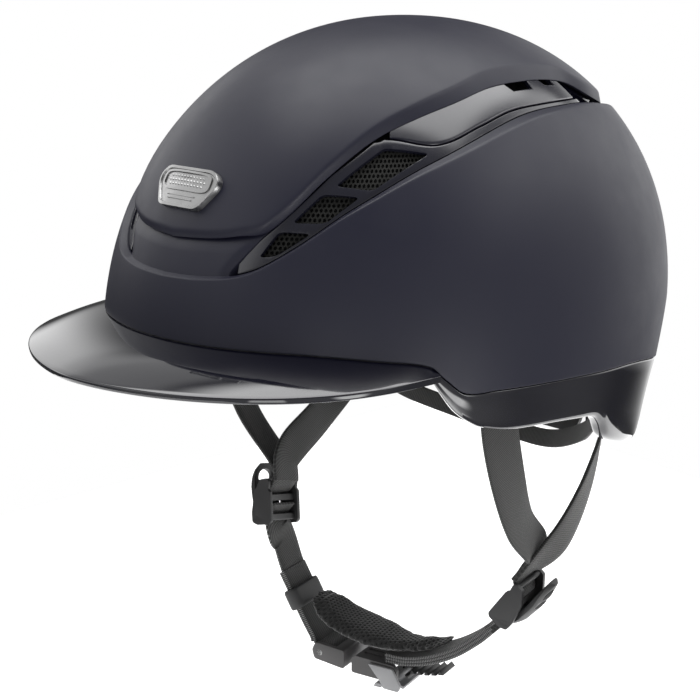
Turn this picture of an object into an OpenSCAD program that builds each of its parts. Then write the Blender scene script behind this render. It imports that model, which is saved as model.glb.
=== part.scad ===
// Equestrian riding helmet: two-piece outer shell with side vent channels, peak,
// glossy rim, impact liner, comfort pads, nape adjuster and a four-point harness
// with a ratchet chin buckle.
// Frame: +Z up, the peak points along -Y, the wearer's left is +X.
// Origin: the centre of the head opening, at brow level.
// A place on the shell is an angle round from the front (0 front, 90 left, 180 rear),
// a height z and a depth below the outer skin.

/* [Shell] */
// Distance from the origin to the front of the shell
front_len = 141.5; // [136:0.5:146]
// Distance from the origin to the back of the shell
rear_len = 133; // [129:0.5:137]
// Half the width of the shell
half_w = 109.5; // [106:0.5:113]
// Height of the crown above the origin
crown_h = 136.5; // [132:0.5:141]
// Thickness of the moulded shells
shell_t = 2.4; // [2:0.1:2.6]
// Depth of the side vent channels
channel_d = 6.8; // [6.6:0.1:7]
// Depth of the belt between the two front creases
belt_d = 2; // [1.9:0.1:2.1]

/* [Peak] */
// How far the peak reaches in front of the shell
peak_len = 39; // [34:1:44]
// Thickness of the peak
peak_t = 2.6; // [2.2:0.1:3]

/* [Harness] */
// Width of the webbing
web_w = 19; // [17:0.5:19.5]
// Thickness of one layer of webbing
web_t = 1.6; // [1.2:0.1:1.8]

/* [Nape adjuster] */
// Radius of the adjuster dial
dial_r = 15; // [13:0.5:16]
// Teeth on the pinion
pinion_teeth = 12; // [12:1:12]

/* [Hidden] */

n_up = 2.1;         // roundness of the dome seen from the side
n_plan = 2.2;       // roundness of the shell seen from above
flank_h = 75;       // height over which the flank pulls in below the brow
flank_in = 0.1;     // part of the radius that it pulls in by
gap = 0.4;          // clearance between neighbouring shells
navy = [0.17, 0.17, 0.22];
gloss_navy = [0.07, 0.07, 0.12];
black = [0.12, 0.12, 0.13];

// Angles of the shell's columns on the left half, closer together where edges turn
half_columns = [0, 6, 12, 15, 18, 21, 25, 30, 36, 43, 50, 53, 56, 60, 65, 72, 80, 88, 96,
    101, 106, 112, 119, 127, 135, 143, 151, 159, 167, 174];
columns = concat(half_columns, [180], [for (i = [len(half_columns) - 1:-1:1]) 360 - half_columns[i]]);

// Outlines on the shell as [angle, height] points, the same on both sides
matte_low = [[0, 15], [28, 14.8], [42, 11.7], [50, 8.5], [53, 3], [57, -3.5], [64, -4.2],
    [81, -5.5], [95, -7], [113, -9.5], [137, -18], [160, -22], [180, -23]];
lower_crease = [[0, 38.7], [10, 39.8], [18, 43.2], [25, 51.9], [35, 66.3], [51, 81],
    [81, 95.2], [113, 99.8], [137, 97.5], [160, 91], [180, 88]];
crown_edge = [[0, 56.2], [10, 57.7], [15, 59.5], [19.5, 61.5], [23, 68], [29.5, 83], [38, 96.5],
    [49, 105], [63, 111], [78, 115.5], [96, 117], [113, 116.6], [125, 114], [135, 106.5],
    [150, 101], [180, 98]];
frame_top = [[17, 52], [19, 57.5], [23.5, 67.4], [30, 81.7], [38, 93.4], [41.8, 94.3],
    [54, 91.4], [68, 97.2], [82, 102], [100, 103.8], [121, 104.2]];
trim_low = [[50, 4], [52, -3], [55, -11.5], [59.5, -18.5], [62, -20.5], [67.5, -23], [82, -25],
    [90, -26.5], [97, -28.5], [101, -33.5], [105, -41], [112, -47], [122, -52.5], [137, -57],
    [155, -58], [180, -56]];
trim_lip = [[50, 13], [57, 13], [66, 11], [90, 8], [105, 9], [125, 9], [150, 6], [180, 5]];
crease_rise = [[0, 1.6], [18, 1.6], [30, 2], [50, 3], [81, 3.6], [120, 2.5], [180, 2.5]];
recess = [[0, belt_d], [13, belt_d], [18, channel_d], [180, channel_d]];
edge_drop = [[0, 2.2], [19, 2.2], [30, 2.5], [58, 4], [113, 4], [180, 3]];
edge_depth = [[0, 1.7], [14, 1.7], [20, 3], [180, 3]];

// The three windows of a vent frame, each as [angle, height] corners
windows = [[[40.5, 91.3], [51.5, 88.7], [38.6, 75.7], [31, 77.6]],
    [[28.8, 74.6], [36.3, 73.5], [30.2, 63.8], [24, 63.8]],
    [[21.9, 60.5], [28, 60.1], [22.4, 51.5], [19, 50.4]]];

// The chin loop hangs in one upright plane, which stands at this angle and place
loop_turn = 14.5;
loop_y = -9;

// ---------- functions ----------
function mix(a, b, t) = a + (b - a) * t;
function fold(t) = t > 180 ? 360 - t : t;
function piece(pts, t, i = 0) = i >= len(pts) - 2 || t < pts[i + 1][0] ? i : piece(pts, t, i + 1);
function slope(pts, i) = let (a = max(i - 1, 0), b = min(i + 1, len(pts) - 1))
    (pts[b][1] - pts[a][1]) / (pts[b][0] - pts[a][0]);
// Smooth curve through [angle, value] points
function curve(pts, t) = let (i = piece(pts, t), h = pts[i + 1][0] - pts[i][0], u = (t - pts[i][0]) / h)
    pts[i][1] * (2 * u * u * u - 3 * u * u + 1) + slope(pts, i) * h * (u * u * u - 2 * u * u + u)
    + pts[i + 1][1] * (3 * u * u - 2 * u * u * u) + slope(pts, i + 1) * h * (u * u * u - u * u);
function along(pts, t) = lookup(fold(t), pts);
function smooth(pts, t) = curve(pts, fold(t));
// Height of the widest line of the shell
function waist(t) = let (c = cos(t)) -13.5 * c + 5.5 * c * c;
function plan_r(t, d) = let (a = (cos(t) > 0 ? front_len : rear_len) - d)
    pow(pow(abs(cos(t)) / a, n_plan) + pow(abs(sin(t)) / (half_w - d), n_plan), -1 / n_plan);
function rise(t, z) = pow(max(0, min(1, (z - waist(t)) / (crown_h - waist(t)))), n_up / 2);
// Point on the shell at angle t and height z, d below the outer skin
function skin(t, z, d) = let (w = waist(t), s = rise(t, z), low = max(0, w - z) / flank_h,
        r = plan_r(t, d) * (z > w ? pow(1 - s * s, 1 / n_up) : 1 - flank_in * pow(low, 1.3)),
        up = z > w ? z - d * pow(s, 2 / n_up) : z)
    [r * sin(t), -r * cos(t), up];
// Point on the dome at angle t and elevation angle p
function dome(t, p, d) = let (w = waist(t), r = plan_r(t, d) * pow(cos(p), 2 / n_up))
    [r * sin(t), -r * cos(t), w + (crown_h - d - w) * pow(sin(p), 2 / n_up)];
function climb(t, z) = asin(rise(t, z));
function unit(v) = v / norm(v);
// Point and direction in the plane of the chin loop
function in_loop(s, y, z) = [s * cos(loop_turn) - y * sin(loop_turn),
    loop_y + s * sin(loop_turn) + y * cos(loop_turn), z];

// ---------- builders ----------
// Solid through loops of points, which run counter-clockwise seen from the far end
module loft(loops, ring = false) {
    n = len(loops);
    k = len(loops[0]);
    sides = [for (i = [0:ring ? n - 1 : n - 2], j = [0:k - 1])
        let (a = i * k + j, b = i * k + (j + 1) % k, m = ((i + 1) % n) * k, c = m + (j + 1) % k, d = m + j)
        each [[a, c, b], [a, d, c]]];
    near_end = [[for (j = [0:k - 1]) j]];
    far_end = [[for (j = [k - 1:-1:0]) (n - 1) * k + j]];
    polyhedron(points = [for (l = loops) each l], faces = ring ? sides : concat(sides, near_end, far_end));
}

// Hollow cap from rings of points, the lowest first, that close at one top point
module cap(outer, inner, top_out, top_in) {
    n = len(outer[0]);
    m = len(outer);
    q = m * n;
    walls = [for (i = [0:m - 2], j = [0:n - 1])
        let (a = i * n + j, b = i * n + (j + 1) % n, d = a + n, c = b + n)
        each [[a, d, c], [a, c, b], [q + a, q + c, q + d], [q + a, q + b, q + c]]];
    tops = [for (j = [0:n - 1]) let (a = q - n + j, b = q - n + (j + 1) % n)
        each [[a, 2 * q, b], [q + a, q + b, 2 * q + 1]]];
    rim = [for (j = [0:n - 1]) let (b = (j + 1) % n) each [[j, b, q + b], [j, q + b, q + j]]];
    polyhedron(points = concat([for (r = outer) each r], [for (r = inner) each r], [top_out, top_in]),
        faces = concat(walls, tops, rim));
}

// Patch of the shell between two outlines, from depth d to depth d + t
module patch(angles, top, bottom, d, t, rows = 4) {
    loft([for (a = angles) concat(
        [for (i = [0:rows]) skin(a, mix(top(a), bottom(a), i / rows), d)],
        [for (i = [0:rows]) skin(a, mix(bottom(a), top(a), i / rows), d + t)])]);
}

// Flat webbing through [centre, direction across] stations
module ribbon(stations, w = web_w, t = web_t) {
    n = len(stations);
    loft([for (i = [0:n - 1])
        let (c = stations[i][0], along = stations[min(i + 1, n - 1)][0] - stations[max(i - 1, 0)][0],
            x = unit(stations[i][1] - along * (stations[i][1] * along) / (along * along)) * w / 2,
            y = unit(cross(along, x)) * t / 2)
        [c - x - y, c + x - y, c + x + y, c - x + y]]);
}

// Rectangle with round corners
module round_rect(l, w, r) {
    square([l - 2 * r, w], center = true);
    square([l, w - 2 * r], center = true);
    for (x = [-1, 1], y = [-1, 1]) translate([x * (l / 2 - r), y * (w / 2 - r)]) circle(r, $fn = 40);
}

// Places a child in the chin loop's plane: x along the loop's plane, y across it
module loop_frame() {
    translate([0, loop_y, 0]) rotate([0, 0, loop_turn]) children();
}

// Extrudes a side view, drawn as [s, z], across the chin loop by w
module across(w) {
    rotate([90, 0, 0]) translate([0, 0, -w / 2]) linear_extrude(w) children();
}

// ---------- shells ----------
function shell_loop(t) = let (low = smooth(matte_low, t), c = smooth(lower_crease, t),
        f = c + smooth(crease_rise, t), e = smooth(crown_edge, t), d = along(recess, t),
        lap = fold(t) < 14, top = lap ? e + 8 : f + 3, hide = lap ? 3.6 : d,
        mid = lap ? e - 1 : f + 1, up = lap ? e + 1.5 : f + 2)
    concat([skin(t, top, hide), skin(t, up, hide), skin(t, mid, d), skin(t, f, d)],
        [for (i = [0:5]) skin(t, mix(c, low, i / 5), 0)],
        [for (i = [0:5]) skin(t, mix(low, c, i / 5), shell_t)],
        [skin(t, f, d + 2.2), skin(t, mid, d + 2.2), skin(t, up, hide + 2.2), skin(t, top, hide + 2.2)]);

module main_shell() {
    color(navy) loft([for (t = columns) shell_loop(t)], ring = true);
}

module crown_shell() {
    rows = 7;
    edge = [for (t = columns) skin(t, smooth(crown_edge, t), 0)];
    foot = [for (t = columns) skin(t, smooth(crown_edge, t) - smooth(edge_drop, t), along(edge_depth, t))];
    outer = [for (i = [0:rows - 1]) [for (t = columns)
        dome(t, mix(climb(t, smooth(crown_edge, t)), 90, i / rows), 0)]];
    inner = [for (i = [1:rows - 1]) [for (t = columns)
        dome(t, mix(climb(t, smooth(crown_edge, t)), 90, i / rows), shell_t)]];
    lip = [for (t = columns) skin(t, smooth(crown_edge, t) + 2.5, shell_t)];
    color(navy) cap(concat([foot], outer), concat([lip], [lip_up(0.5)], inner),
        [0, 0, crown_h], [0, 0, crown_h - shell_t]);
}
function lip_up(k) = [for (t = columns)
    dome(t, mix(climb(t, smooth(crown_edge, t) + 2.5), mix(climb(t, smooth(crown_edge, t)), 90, 1 / 7), k), shell_t)];

// Peak: its outer edge is a rounded outline, its inner edge follows the shell
peak_a = 98.5;
peak_b = 64 + peak_len;
peak_edge_z = 5.5;
function sign_pow(v, p) = v < 0 ? -pow(-v, p) : pow(v, p);
function peak_out(a) = [peak_a * sign_pow(sin(a), 1.18), -77.5 - peak_b * pow(cos(a), 0.77), peak_edge_z];
function peak_in(a) = let (t = a * 51.5 / 90) skin(t, smooth(matte_low, abs(t)) - gap, 1);
function peak_at(a, k) = mix(peak_in(a), peak_out(a), k) + [0, 0, sin(180 * k) * (0.1 + 1.2 * cos(a))];
module peak() {
    steps = 5;
    color(gloss_navy) loft([for (a = [-90:4.5:90]) concat(
        [for (i = [0:steps]) peak_at(a, i / steps)],
        [for (i = [steps:-1:0]) peak_at(a, i / steps * 0.985) - [0, 0, peak_t]])]);
}

// Glossy rim below the matte shell, with a flange behind the shell and an inward lip
function trim_loop(t) = let (m = smooth(matte_low, t), z = smooth(trim_low, t), l = smooth(trim_lip, t),
        h = max(4, m - z))
    [skin(t, m + 5, 2.8), skin(t, m - gap, 2.8), skin(t, m - gap, 0.4), skin(t, m - h * 0.5, 1.0),
     skin(t, m - h * 0.85, 0.5), skin(t, z + 0.6, 1.8), skin(t, z, 3.5), skin(t, z, l - 1.5),
     skin(t, z + 1.5, l), skin(t, z + 3, l), skin(t, z + 3.2, 4.2), skin(t, m - h * 0.5, 4.2),
     skin(t, m + 5, 4.6)];
module rim_trim() {
    angles = [for (t = columns) if (t > 52 && t < 308) t];
    color(gloss_navy) loft([for (t = angles) trim_loop(t)]);
}

// Badge on the front of the crown: shield outline on a curved back
module front_badge() {
    lean = 30;
    color("silver") translate([0, -121.3, 71.8]) rotate([90 - lean, 0, 0]) difference() {
        linear_extrude(2.2) badge_outline(0);
        translate([0, 0, 1.5]) linear_extrude(2) badge_outline(1.3);
    }
}
module badge_outline(inset) {
    w = 18.2 - inset;
    intersection() {
        polygon([[-12.3 + inset, -8.6 + inset], [12.3 - inset, -8.6 + inset], [w, 2.5],
            [w - 0.6, 5.5], [w - 4.5, 8.6 - inset], [-w + 4.5, 8.6 - inset], [-w + 0.6, 5.5], [-w, 2.5]]);
        square([2 * w, 40], center = true);
    }
}

// ---------- vent inserts ----------
frame_d = 3.4;
frame_t = 1.8;
frame_angles = [17, 19, 21, 23.5, 26, 30, 34, 38, 41.8, 46, 50, 54, 60, 68, 76, 84, 92, 100, 110, 121];
function frame_hi(t) = curve(frame_top, t);
function frame_lo(t) = curve(lower_crease, t) + curve(crease_rise, t) + 0.5;

module vent_frame() {
    difference() {
        patch(frame_angles, function(t) frame_hi(t), function(t) frame_lo(t), frame_d, frame_t, 2);
        for (w = windows) loft([[for (c = w) skin(c[0], c[1], 1)], [for (c = w) skin(c[0], c[1], 8)]]);
    }
}
module vent_frame_left() { color(navy) vent_frame(); }
module vent_frame_right() { color(navy) mirror([1, 0, 0]) vent_frame(); }

module vent_mesh() {
    patch([18, 21, 25, 30, 35, 40, 45, 51], function(t) curve(frame_top, min(t, 40)) - 0.5,
        function(t) frame_lo(t) + 3.2, frame_d + frame_t + 0.4, 0.6, 2);
}
module vent_mesh_left() { color([0.09, 0.1, 0.08]) vent_mesh(); }
module vent_mesh_right() { color([0.09, 0.1, 0.08]) mirror([1, 0, 0]) vent_mesh(); }

// Panel behind the vent windows; its front edge leans back along the frame
function panel_lo(t) = curve(frame_top, t) + 0.6;
function panel_hi(t) = max(panel_lo(t) + 0.6, curve(crown_edge, t) - 2.5);
module side_panel() {
    patch([42.4, 46, 50, 54, 60, 68, 76, 84, 92, 100, 109, 118], function(t) panel_hi(t),
        function(t) panel_lo(t), frame_d, frame_t, 2);
}
module side_panel_left() { color(navy) side_panel(); }
module side_panel_right() { color(navy) mirror([1, 0, 0]) side_panel(); }

// Grille across the back, under the crown's rear lip, with a row of openings
grille_angles = [122, 128, 135, 143, 151, 159, 167, 174, 180, 186, 193, 201, 209, 217, 225, 232, 238];
module rear_vent_grille() {
    color(gloss_navy) difference() {
        patch(grille_angles, function(t) smooth(crown_edge, t) - 2.5,
            function(t) smooth(lower_crease, t) + smooth(crease_rise, t) + 0.5, frame_d + 0.8, frame_t, 1);
        for (t = [139, 147, 155, 163, 170.5, 177, 183, 189.5, 197, 205, 213, 221]) {
            at = skin(t, (smooth(crown_edge, t) + smooth(lower_crease, t) + smooth(crease_rise, t)) / 2 - 1.2, 0);
            translate(at) rotate([90, 0, t]) cylinder(h = 24, r = 1.2, center = true, $fn = 16);
        }
    }
}

// ---------- liner and pads ----------
liner_angles = [for (t = [0:7.5:352.5]) t];
liner_low = [[0, 5], [50, 5], [58, 1], [70, -5], [90, -8], [120, -14], [150, -20], [180, -22]];
liner_t = 18;
function liner_out(t, k) = let (low = smooth(liner_low, t)) k < 1 ? skin(t, low, 5.6)
    : k < 2 ? skin(t, mix(low, 24, 0.7), 5.6)
    : k < 3 ? skin(t, 36, 9.8)
    : dome(t, mix(climb(t, 36), 90, (k - 2) / 6), 9.8);
function liner_in(t, k) = let (low = smooth(liner_low, t), d = 9.8 + liner_t) k < 1 ? skin(t, low, d)
    : k < 2 ? skin(t, mix(low, 24, 0.7), d)
    : k < 3 ? skin(t, 36, d)
    : dome(t, mix(climb(t, 36), 90, (k - 2) / 6), d);
module impact_liner() {
    color([0.2, 0.2, 0.21]) cap([for (k = [0:7]) [for (t = liner_angles) liner_out(t, k)]],
        [for (k = [0:7]) [for (t = liner_angles) liner_in(t, k)]],
        [0, 0, crown_h - 9.8], [0, 0, crown_h - 9.8 - liner_t]);
}

pad_d = 28.6;
module brow_pad() {
    color(black) patch([for (t = [-42:7:42]) t], function(t) 26, function(t) 6, pad_d, 7, 3);
}
module side_pad() {
    patch([for (t = [60:6:108]) t], function(t) 42, function(t) 14, pad_d, 6, 3);
}
module side_pad_left() { color(black) side_pad(); }
module side_pad_right() { color(black) mirror([1, 0, 0]) side_pad(); }
module crown_pad() {
    angles = [for (t = [0:12:348]) t];
    color(black) cap([for (k = [0:2]) [for (t = angles) dome(t, mix(66, 90, k / 3), pad_d)]],
        [for (k = [0:2]) [for (t = angles) dome(t, mix(67, 90, k / 3), pad_d + 6)]],
        [0, 0, crown_h - pad_d], [0, 0, crown_h - pad_d - 6]);
}

// ---------- nape adjuster ----------
// The dial turns about an axis along Y; its pinion drives the racks of the two bands
dial_z = -48;
cradle_y = 90;
tooth_module = 1;
pinion_r = tooth_module * pinion_teeth / 2;
rack_gap = pinion_r + 0.35;

module teeth_row(n) {
    for (i = [0:n - 1]) translate([i * PI * tooth_module, 0]) polygon([[-1.05, -0.4], [-0.4, 1.7], [0.4, 1.7], [1.05, -0.4]]);
}

module nape_cradle() {
    color(black) difference() {
        union() {
            translate([0, cradle_y, dial_z]) rotate([-90, 0, 0]) linear_extrude(2.4) round_rect(76, 40, 10);
            for (x = [-1, 1], z = [-1, 1]) translate([x * 26, cradle_y + 2, dial_z + z * 14.5])
                rotate([-90, 0, 0]) cylinder(h = 6, r = 2.6, $fn = 40);
        }
        translate([0, cradle_y - 1, dial_z]) rotate([-90, 0, 0]) cylinder(h = 5, r = 1.55, $fn = 40);
    }
}
module cradle_cover() {
    color(black) difference() {
        translate([0, cradle_y + 8.4, dial_z]) rotate([-90, 0, 0]) linear_extrude(2.2) round_rect(66, 38, 9);
        translate([0, cradle_y + 7, dial_z]) rotate([-90, 0, 0]) cylinder(h = 6, r = 7.6, $fn = 60);
    }
}
module dial_screw() {
    color("silver") translate([0, cradle_y - 2.6, dial_z]) rotate([-90, 0, 0]) {
        cylinder(h = 2.2, r = 3.2, $fn = 40);
        cylinder(h = 17, r = 1.5, $fn = 40);
    }
}
module adjuster_dial() {
    color(black) translate([0, cradle_y, dial_z]) rotate([-90, 0, 0]) difference() {
        union() {
            translate([0, 0, 2.8]) linear_extrude(5.2) {
                circle(pinion_r - 1.25, $fn = 60);
                for (i = [0:pinion_teeth - 1]) rotate(i * 360 / pinion_teeth)
                    polygon([[pinion_r - 1.8, -1.1], [pinion_r - 1.8, 1.1], [pinion_r + 0.85, 0.38], [pinion_r + 0.85, -0.38]]);
            }
            translate([0, 0, 7.9]) cylinder(h = 3.4, r = 7.2, $fn = 60);
            translate([0, 0, 11.2]) linear_extrude(9) difference() {
                circle(dial_r, $fn = 90);
                for (i = [0:23]) rotate(i * 15) translate([dial_r + 0.4, 0]) circle(1, $fn = 20);
            }
        }
        translate([0, 0, 0]) cylinder(h = 15, r = 1.55, $fn = 40);
    }
}

// Band with a straight rack at the nape and a curved arm that follows the head
module band() {
    rack_n = 9;
    translate([0, cradle_y + 3, dial_z - rack_gap - 3.4]) rotate([-90, 0, 0]) linear_extrude(4.6) mirror([0, 1]) {
        translate([-13, -1.6]) square([52, 4.2]);
        translate([-3.5 * PI * tooth_module, 3]) teeth_row(rack_n);
    }
    loft([for (a = [0:15:75]) let (x = 38.4 + 17.4 * sin(a), y = cradle_y + 5.3 - 17.4 * (1 - cos(a)))
        let (u = [cos(a), -sin(a), 0], v = [sin(a), cos(a), 0])
        [for (q = [[-1.2, -5], [1.2, -5], [1.2, 4], [-1.2, 4]])
            [x, y, dial_z - rack_gap - 2] + v * q[0] + [0, 0, q[1]]]]);
}
module band_left() { color(black) band(); }
module band_right() {
    color(black) translate([0, cradle_y, dial_z]) rotate([0, 180, 0]) translate([0, -cradle_y, -dial_z]) band();
}

// Two flexible hangers that carry the cradle from the liner
module cradle_hangers() {
    color(black) for (x = [-22, 22]) ribbon([[[x, cradle_y - 1, dial_z + 2], [1, 0, 0]],
        [[x, cradle_y - 1.1, dial_z + 20], [1, 0, 0]], [[x, cradle_y + 0.4, dial_z + 27], [1, 0, 0]],
        [[x, cradle_y + 3.2, dial_z + 38], [1, 0, 0]], [[x, cradle_y + 5.8, dial_z + 52], [1, 0, 0]]], 9, 1.4);
}
module nape_pad() {
    color(black) translate([0, cradle_y - 8.2, dial_z]) rotate([-90, 0, 0]) linear_extrude(4.4) difference() {
        round_rect(78, 34, 9);
        circle(6, $fn = 40);
    }
}

// ---------- harness ----------
front_anchor = [88.5, -31, -17];
rear_anchor = [79, 54, -31];
across_loop = [-sin(loop_turn), cos(loop_turn), 0];

// Each divider has its own place, lean and turn in the chin loop's plane. A point on it is given
// as x along the webbing (up), y across it and z outward.
left_mid = [71.3, -117.9];
left_lean = 54.5;
right_mid = [-59.6, -97.4];
right_lean = 102.3;
right_twist = 14.7;
function left_at(x, y, z) = in_loop(left_mid[0] + x * cos(left_lean) + z * sin(left_lean), y,
    left_mid[1] + x * sin(left_lean) - z * cos(left_lean));
function right_at(x, y, z) = let (a = x * cos(right_twist) - y * sin(right_twist))
    in_loop(right_mid[0] + a * cos(right_lean) - z * sin(right_lean),
        x * sin(right_twist) + y * cos(right_twist),
        right_mid[1] + a * sin(right_lean) + z * cos(right_lean));
right_across = right_at(0, 1, 0) - right_at(0, 0, 0);

// Rivet plates that fix the four straps behind the rim
module anchor(at, turn) {
    translate(at) rotate([0, 0, turn]) rotate([0, 90, 0]) {
        translate([0, 0, 1.2]) linear_extrude(1.4) round_rect(13, 21, 3);
        translate([0, 0, 1.1]) cylinder(h = 2.6, r = 2.4, $fn = 40);
    }
}
module strap_anchors() {
    color("silver") for (m = [0, 1]) mirror([m, 0, 0]) {
        anchor(front_anchor, -8);
        anchor(rear_anchor, 42);
    }
}
// The rear strap on the left runs through the divider's slot, with the front strap behind it
module strap_front_left() {
    color(black) ribbon([[front_anchor + [0.2, 0, 8], [0.14, 1, 0]], [front_anchor - [0.6, -1, 9], [0.14, 1, 0]],
        [[84.6, -20, -52], [0.05, 1, 0]], [[80.5, -6, -78], [-0.15, 1, 0]],
        [left_at(23, 0, -6.8), across_loop], [left_at(15, 0, -4.8), across_loop],
        [left_at(8, 0, -4.5), across_loop]]);
}
module strap_rear_left() {
    color(black) ribbon([[rear_anchor + [0, 0, 8], [-0.7, 0.7, 0]], [[79.2, 53, -45], [-0.6, 0.8, 0]],
        [[80.2, 41, -72], [-0.45, 0.9, 0]], [[80.6, 24, -92], [-0.32, 0.95, 0]],
        [left_at(15, 0.4, -2.4), across_loop], [left_at(7.4, 0, -2.4), across_loop],
        [left_at(2.2, 0, 2.3), across_loop], [left_at(-1.6, 0, 2.4), across_loop]]);
}
// On the right the front strap runs through the slot, with the rear strap behind it
module strap_front_right() {
    color(black) ribbon([[[-88.7, -31, -9], [-0.14, 1, 0]], [[-87.9, -30, -26], [-0.14, 1, 0]],
        [[-79, -26, -56], [-0.1, 1, 0]], [right_at(16, 0, -2.5), right_across],
        [right_at(7.4, 0, -2.4), right_across], [right_at(2.2, 0, 2.3), right_across],
        [right_at(-1.6, 0, 2.4), right_across]]);
}
module strap_rear_right() {
    color(black) ribbon([[[-79, 54, -23], [0.7, 0.7, 0]], [[-78, 48, -42], [0.5, 0.8, 0]],
        [[-71, 18, -64], [0.1, 1, -0.3]], [right_at(22, 2, -5), right_across], [right_at(8, 0, -4.4), right_across]]);
}
// Nape webbing between the two rear straps
module nape_strap() {
    color(black) ribbon([[[-70, 54, -46], [0.1, 0.25, 1]], [[-58, 64, -58], [0.1, 0.3, 1]],
        [[-30, 75, -66], [0, 0.3, 1]], [[0, 79, -70], [0, 0.3, 1]], [[30, 77, -69], [0, 0.3, 1]],
        [[56, 68, -58], [-0.1, 0.3, 1]], [[75, 53, -44], [-0.1, 0.25, 1]]], 9, 1.4);
}

// Divider: two cheeks joined by three bars, with a lever on a pin across the outer side
pin_x = -9.4;
pin_z = 5.7;
module divider_body() {
    difference() {
        union() {
            for (y = [-1, 1]) translate([0, y * 11.3 + 1.1, 0]) rotate([90, 0, 0]) linear_extrude(2.2)
                polygon([[-13, -1.5], [-11.5, -3], [4, -3], [5, -1.8], [12, -2.6], [13, -1.5],
                    [12.4, 2.4], [4, 6.6], [-7, 8.4], [-11.6, 8.2], [-13, 5.4]]);
            for (x = [9.2, 0, -9.6]) translate([x - 1.7, -10.6, -1.2]) cube([3.4, 21.2, 2.4]);
        }
        translate([pin_x, 20, pin_z]) rotate([90, 0, 0]) cylinder(h = 40, r = 1.2, $fn = 40);
    }
}
module divider_lever_body() {
    difference() {
        union() {
            translate([pin_x, 9.8, pin_z]) rotate([90, 0, 0]) cylinder(h = 19.6, r = 2.1, $fn = 40);
            translate([0, 9.8, 0]) rotate([90, 0, 0]) linear_extrude(19.6)
                polygon([[-11.4, 6.9], [-6, 7], [6, 7.4], [11, 6.2], [11, 8.6], [5, 9.8], [-6, 9.5], [-11.4, 8.6]]);
            translate([7.2, 0, 6.2]) linear_extrude(2.4) difference() {
                circle(10, $fn = 60);
                translate([-13, -11]) square([15, 22]);
                translate([3.2, 0]) scale([0.5, 1]) circle(6.4, $fn = 40);
            }
        }
        translate([pin_x, 20, pin_z]) rotate([90, 0, 0]) cylinder(h = 40, r = 1.2, $fn = 40);
        translate([-3, 0, 8.9]) linear_extrude(3) polygon([[-4, -3.5], [-4, 5], [7, 1]]);
    }
}
module divider_pin_body() {
    translate([pin_x, 12.4, pin_z]) rotate([90, 0, 0]) cylinder(h = 24.8, r = 1.15, $fn = 40);
}
module at_left() {
    loop_frame() translate([left_mid[0], 0, left_mid[1]]) rotate([0, -left_lean, 0]) mirror([0, 0, 1]) children();
}
module at_right() {
    loop_frame() translate([right_mid[0], 0, right_mid[1]]) rotate([0, -right_lean, 0])
        rotate([0, 0, right_twist]) children();
}
module divider_left() { color(black) at_left() divider_body(); }
module divider_right() { color(black) at_right() divider_body(); }
module divider_lever_left() { color(black) at_left() divider_lever_body(); }
module divider_lever_right() { color(black) at_right() divider_lever_body(); }
module divider_pin_left() { color("silver") at_left() divider_pin_body(); }
module divider_pin_right() { color("silver") at_right() divider_pin_body(); }

// Side views of the chin webbing as [s, z] points of its inner face
left_line = [[61.5, -132.2], [53.8, -140.2], [42.8, -149.2], [30.6, -156], [17.5, -160.2], [6.5, -161]];
keep_top = [-51.3, -131.8];
keep_end = [-40.8, -149.9];
keep_dir = unit(keep_end - keep_top);
// Outline of a band that lies on the outer side of a line
function outward(line, i, side) = let (a = line[max(i - 1, 0)], b = line[min(i + 1, len(line) - 1)],
    u = unit(b - a)) [-u[1], u[0]] * side;
function band_outline(line, t, side) = concat(line,
    [for (i = [len(line) - 1:-1:0]) line[i] + outward(line, i, side) * t]);
function left_side(x, z) = [left_mid[0] + x * cos(left_lean) + z * sin(left_lean),
    left_mid[1] + x * sin(left_lean) - z * cos(left_lean)];
module chin_strap_left() {
    upper = [left_side(-3.4, -2.6), left_side(-4.6, -1.6), left_side(-6.4, 0.7), left_side(-8.6, 1.6),
        left_side(-11.6, 1.5), left_side(-15, 0.9), [59, -134.5]];
    color(black) loop_frame() across(web_w) {
        polygon(band_outline(upper, web_t, 1));
        polygon(band_outline(left_line, 3 * web_t, 1));
    }
}
// Upper end threads the divider; below it the webbing is folded double and ends round the tongue's bar
module chin_strap_right() {
    color(black) {
        ribbon([[right_at(-3.2, 0, -2), right_across], [right_at(-5, 0, 0), right_across],
            [right_at(-7, 0, 1.9), right_across], [right_at(-9.5, 0, 2.4), right_across],
            [right_at(-15, 0, 1.8), right_across], [in_loop(-57.2, 0, -119), across_loop],
            [in_loop(-53.9, 0, -128.2), across_loop], [in_loop(-50.7, 0, -136.2), across_loop]],
            web_w - 0.6, web_t - 0.2);
        loop_frame() across(web_w) difference() {
            union() {
                polygon(band_outline([keep_top, keep_end, [-37, -156.2], [-32.6, -162.6], [-30.8, -167]], 2 * web_t, -1));
                hull() for (s = [-1, 1]) translate([-29 + s * 2.4, bar_z]) circle(3.4, $fn = 48);
            }
            hull() for (s = [-1, 1]) translate([-29 + s * 2.6, bar_z]) circle(1.9, $fn = 40);
        }
    }
}

// Rubber loop on the right chin webbing
module strap_keeper() {
    mid = keep_top + keep_dir * 14.5;
    color(black) loop_frame() translate([mid[0], 0, mid[1]])
        rotate([0, atan2(-keep_dir[1], keep_dir[0]), 0]) translate([0, 0, -web_t]) difference() {
            translate([-5, -12, -4.2]) cube([10, 24, 8.4]);
            translate([-6, -10.2, -2.5]) cube([12, 20.4, 5]);
        }
}

pad_line = [[-38.5, -142.4], [-30, -150.6], [-21, -155.6], [-8, -158.6], [6, -160], [18, -158.7],
    [30, -154.6], [39, -149.4]];
module chin_pad() {
    color(black) loop_frame() intersection() {
        across(32) polygon(concat(pad_line, [for (i = [7:-1:0]) pad_line[i] + [0, 6.4]]));
        translate([0, 0, -175]) linear_extrude(60) round_rect(84, 32, 15);
    }
}

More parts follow.
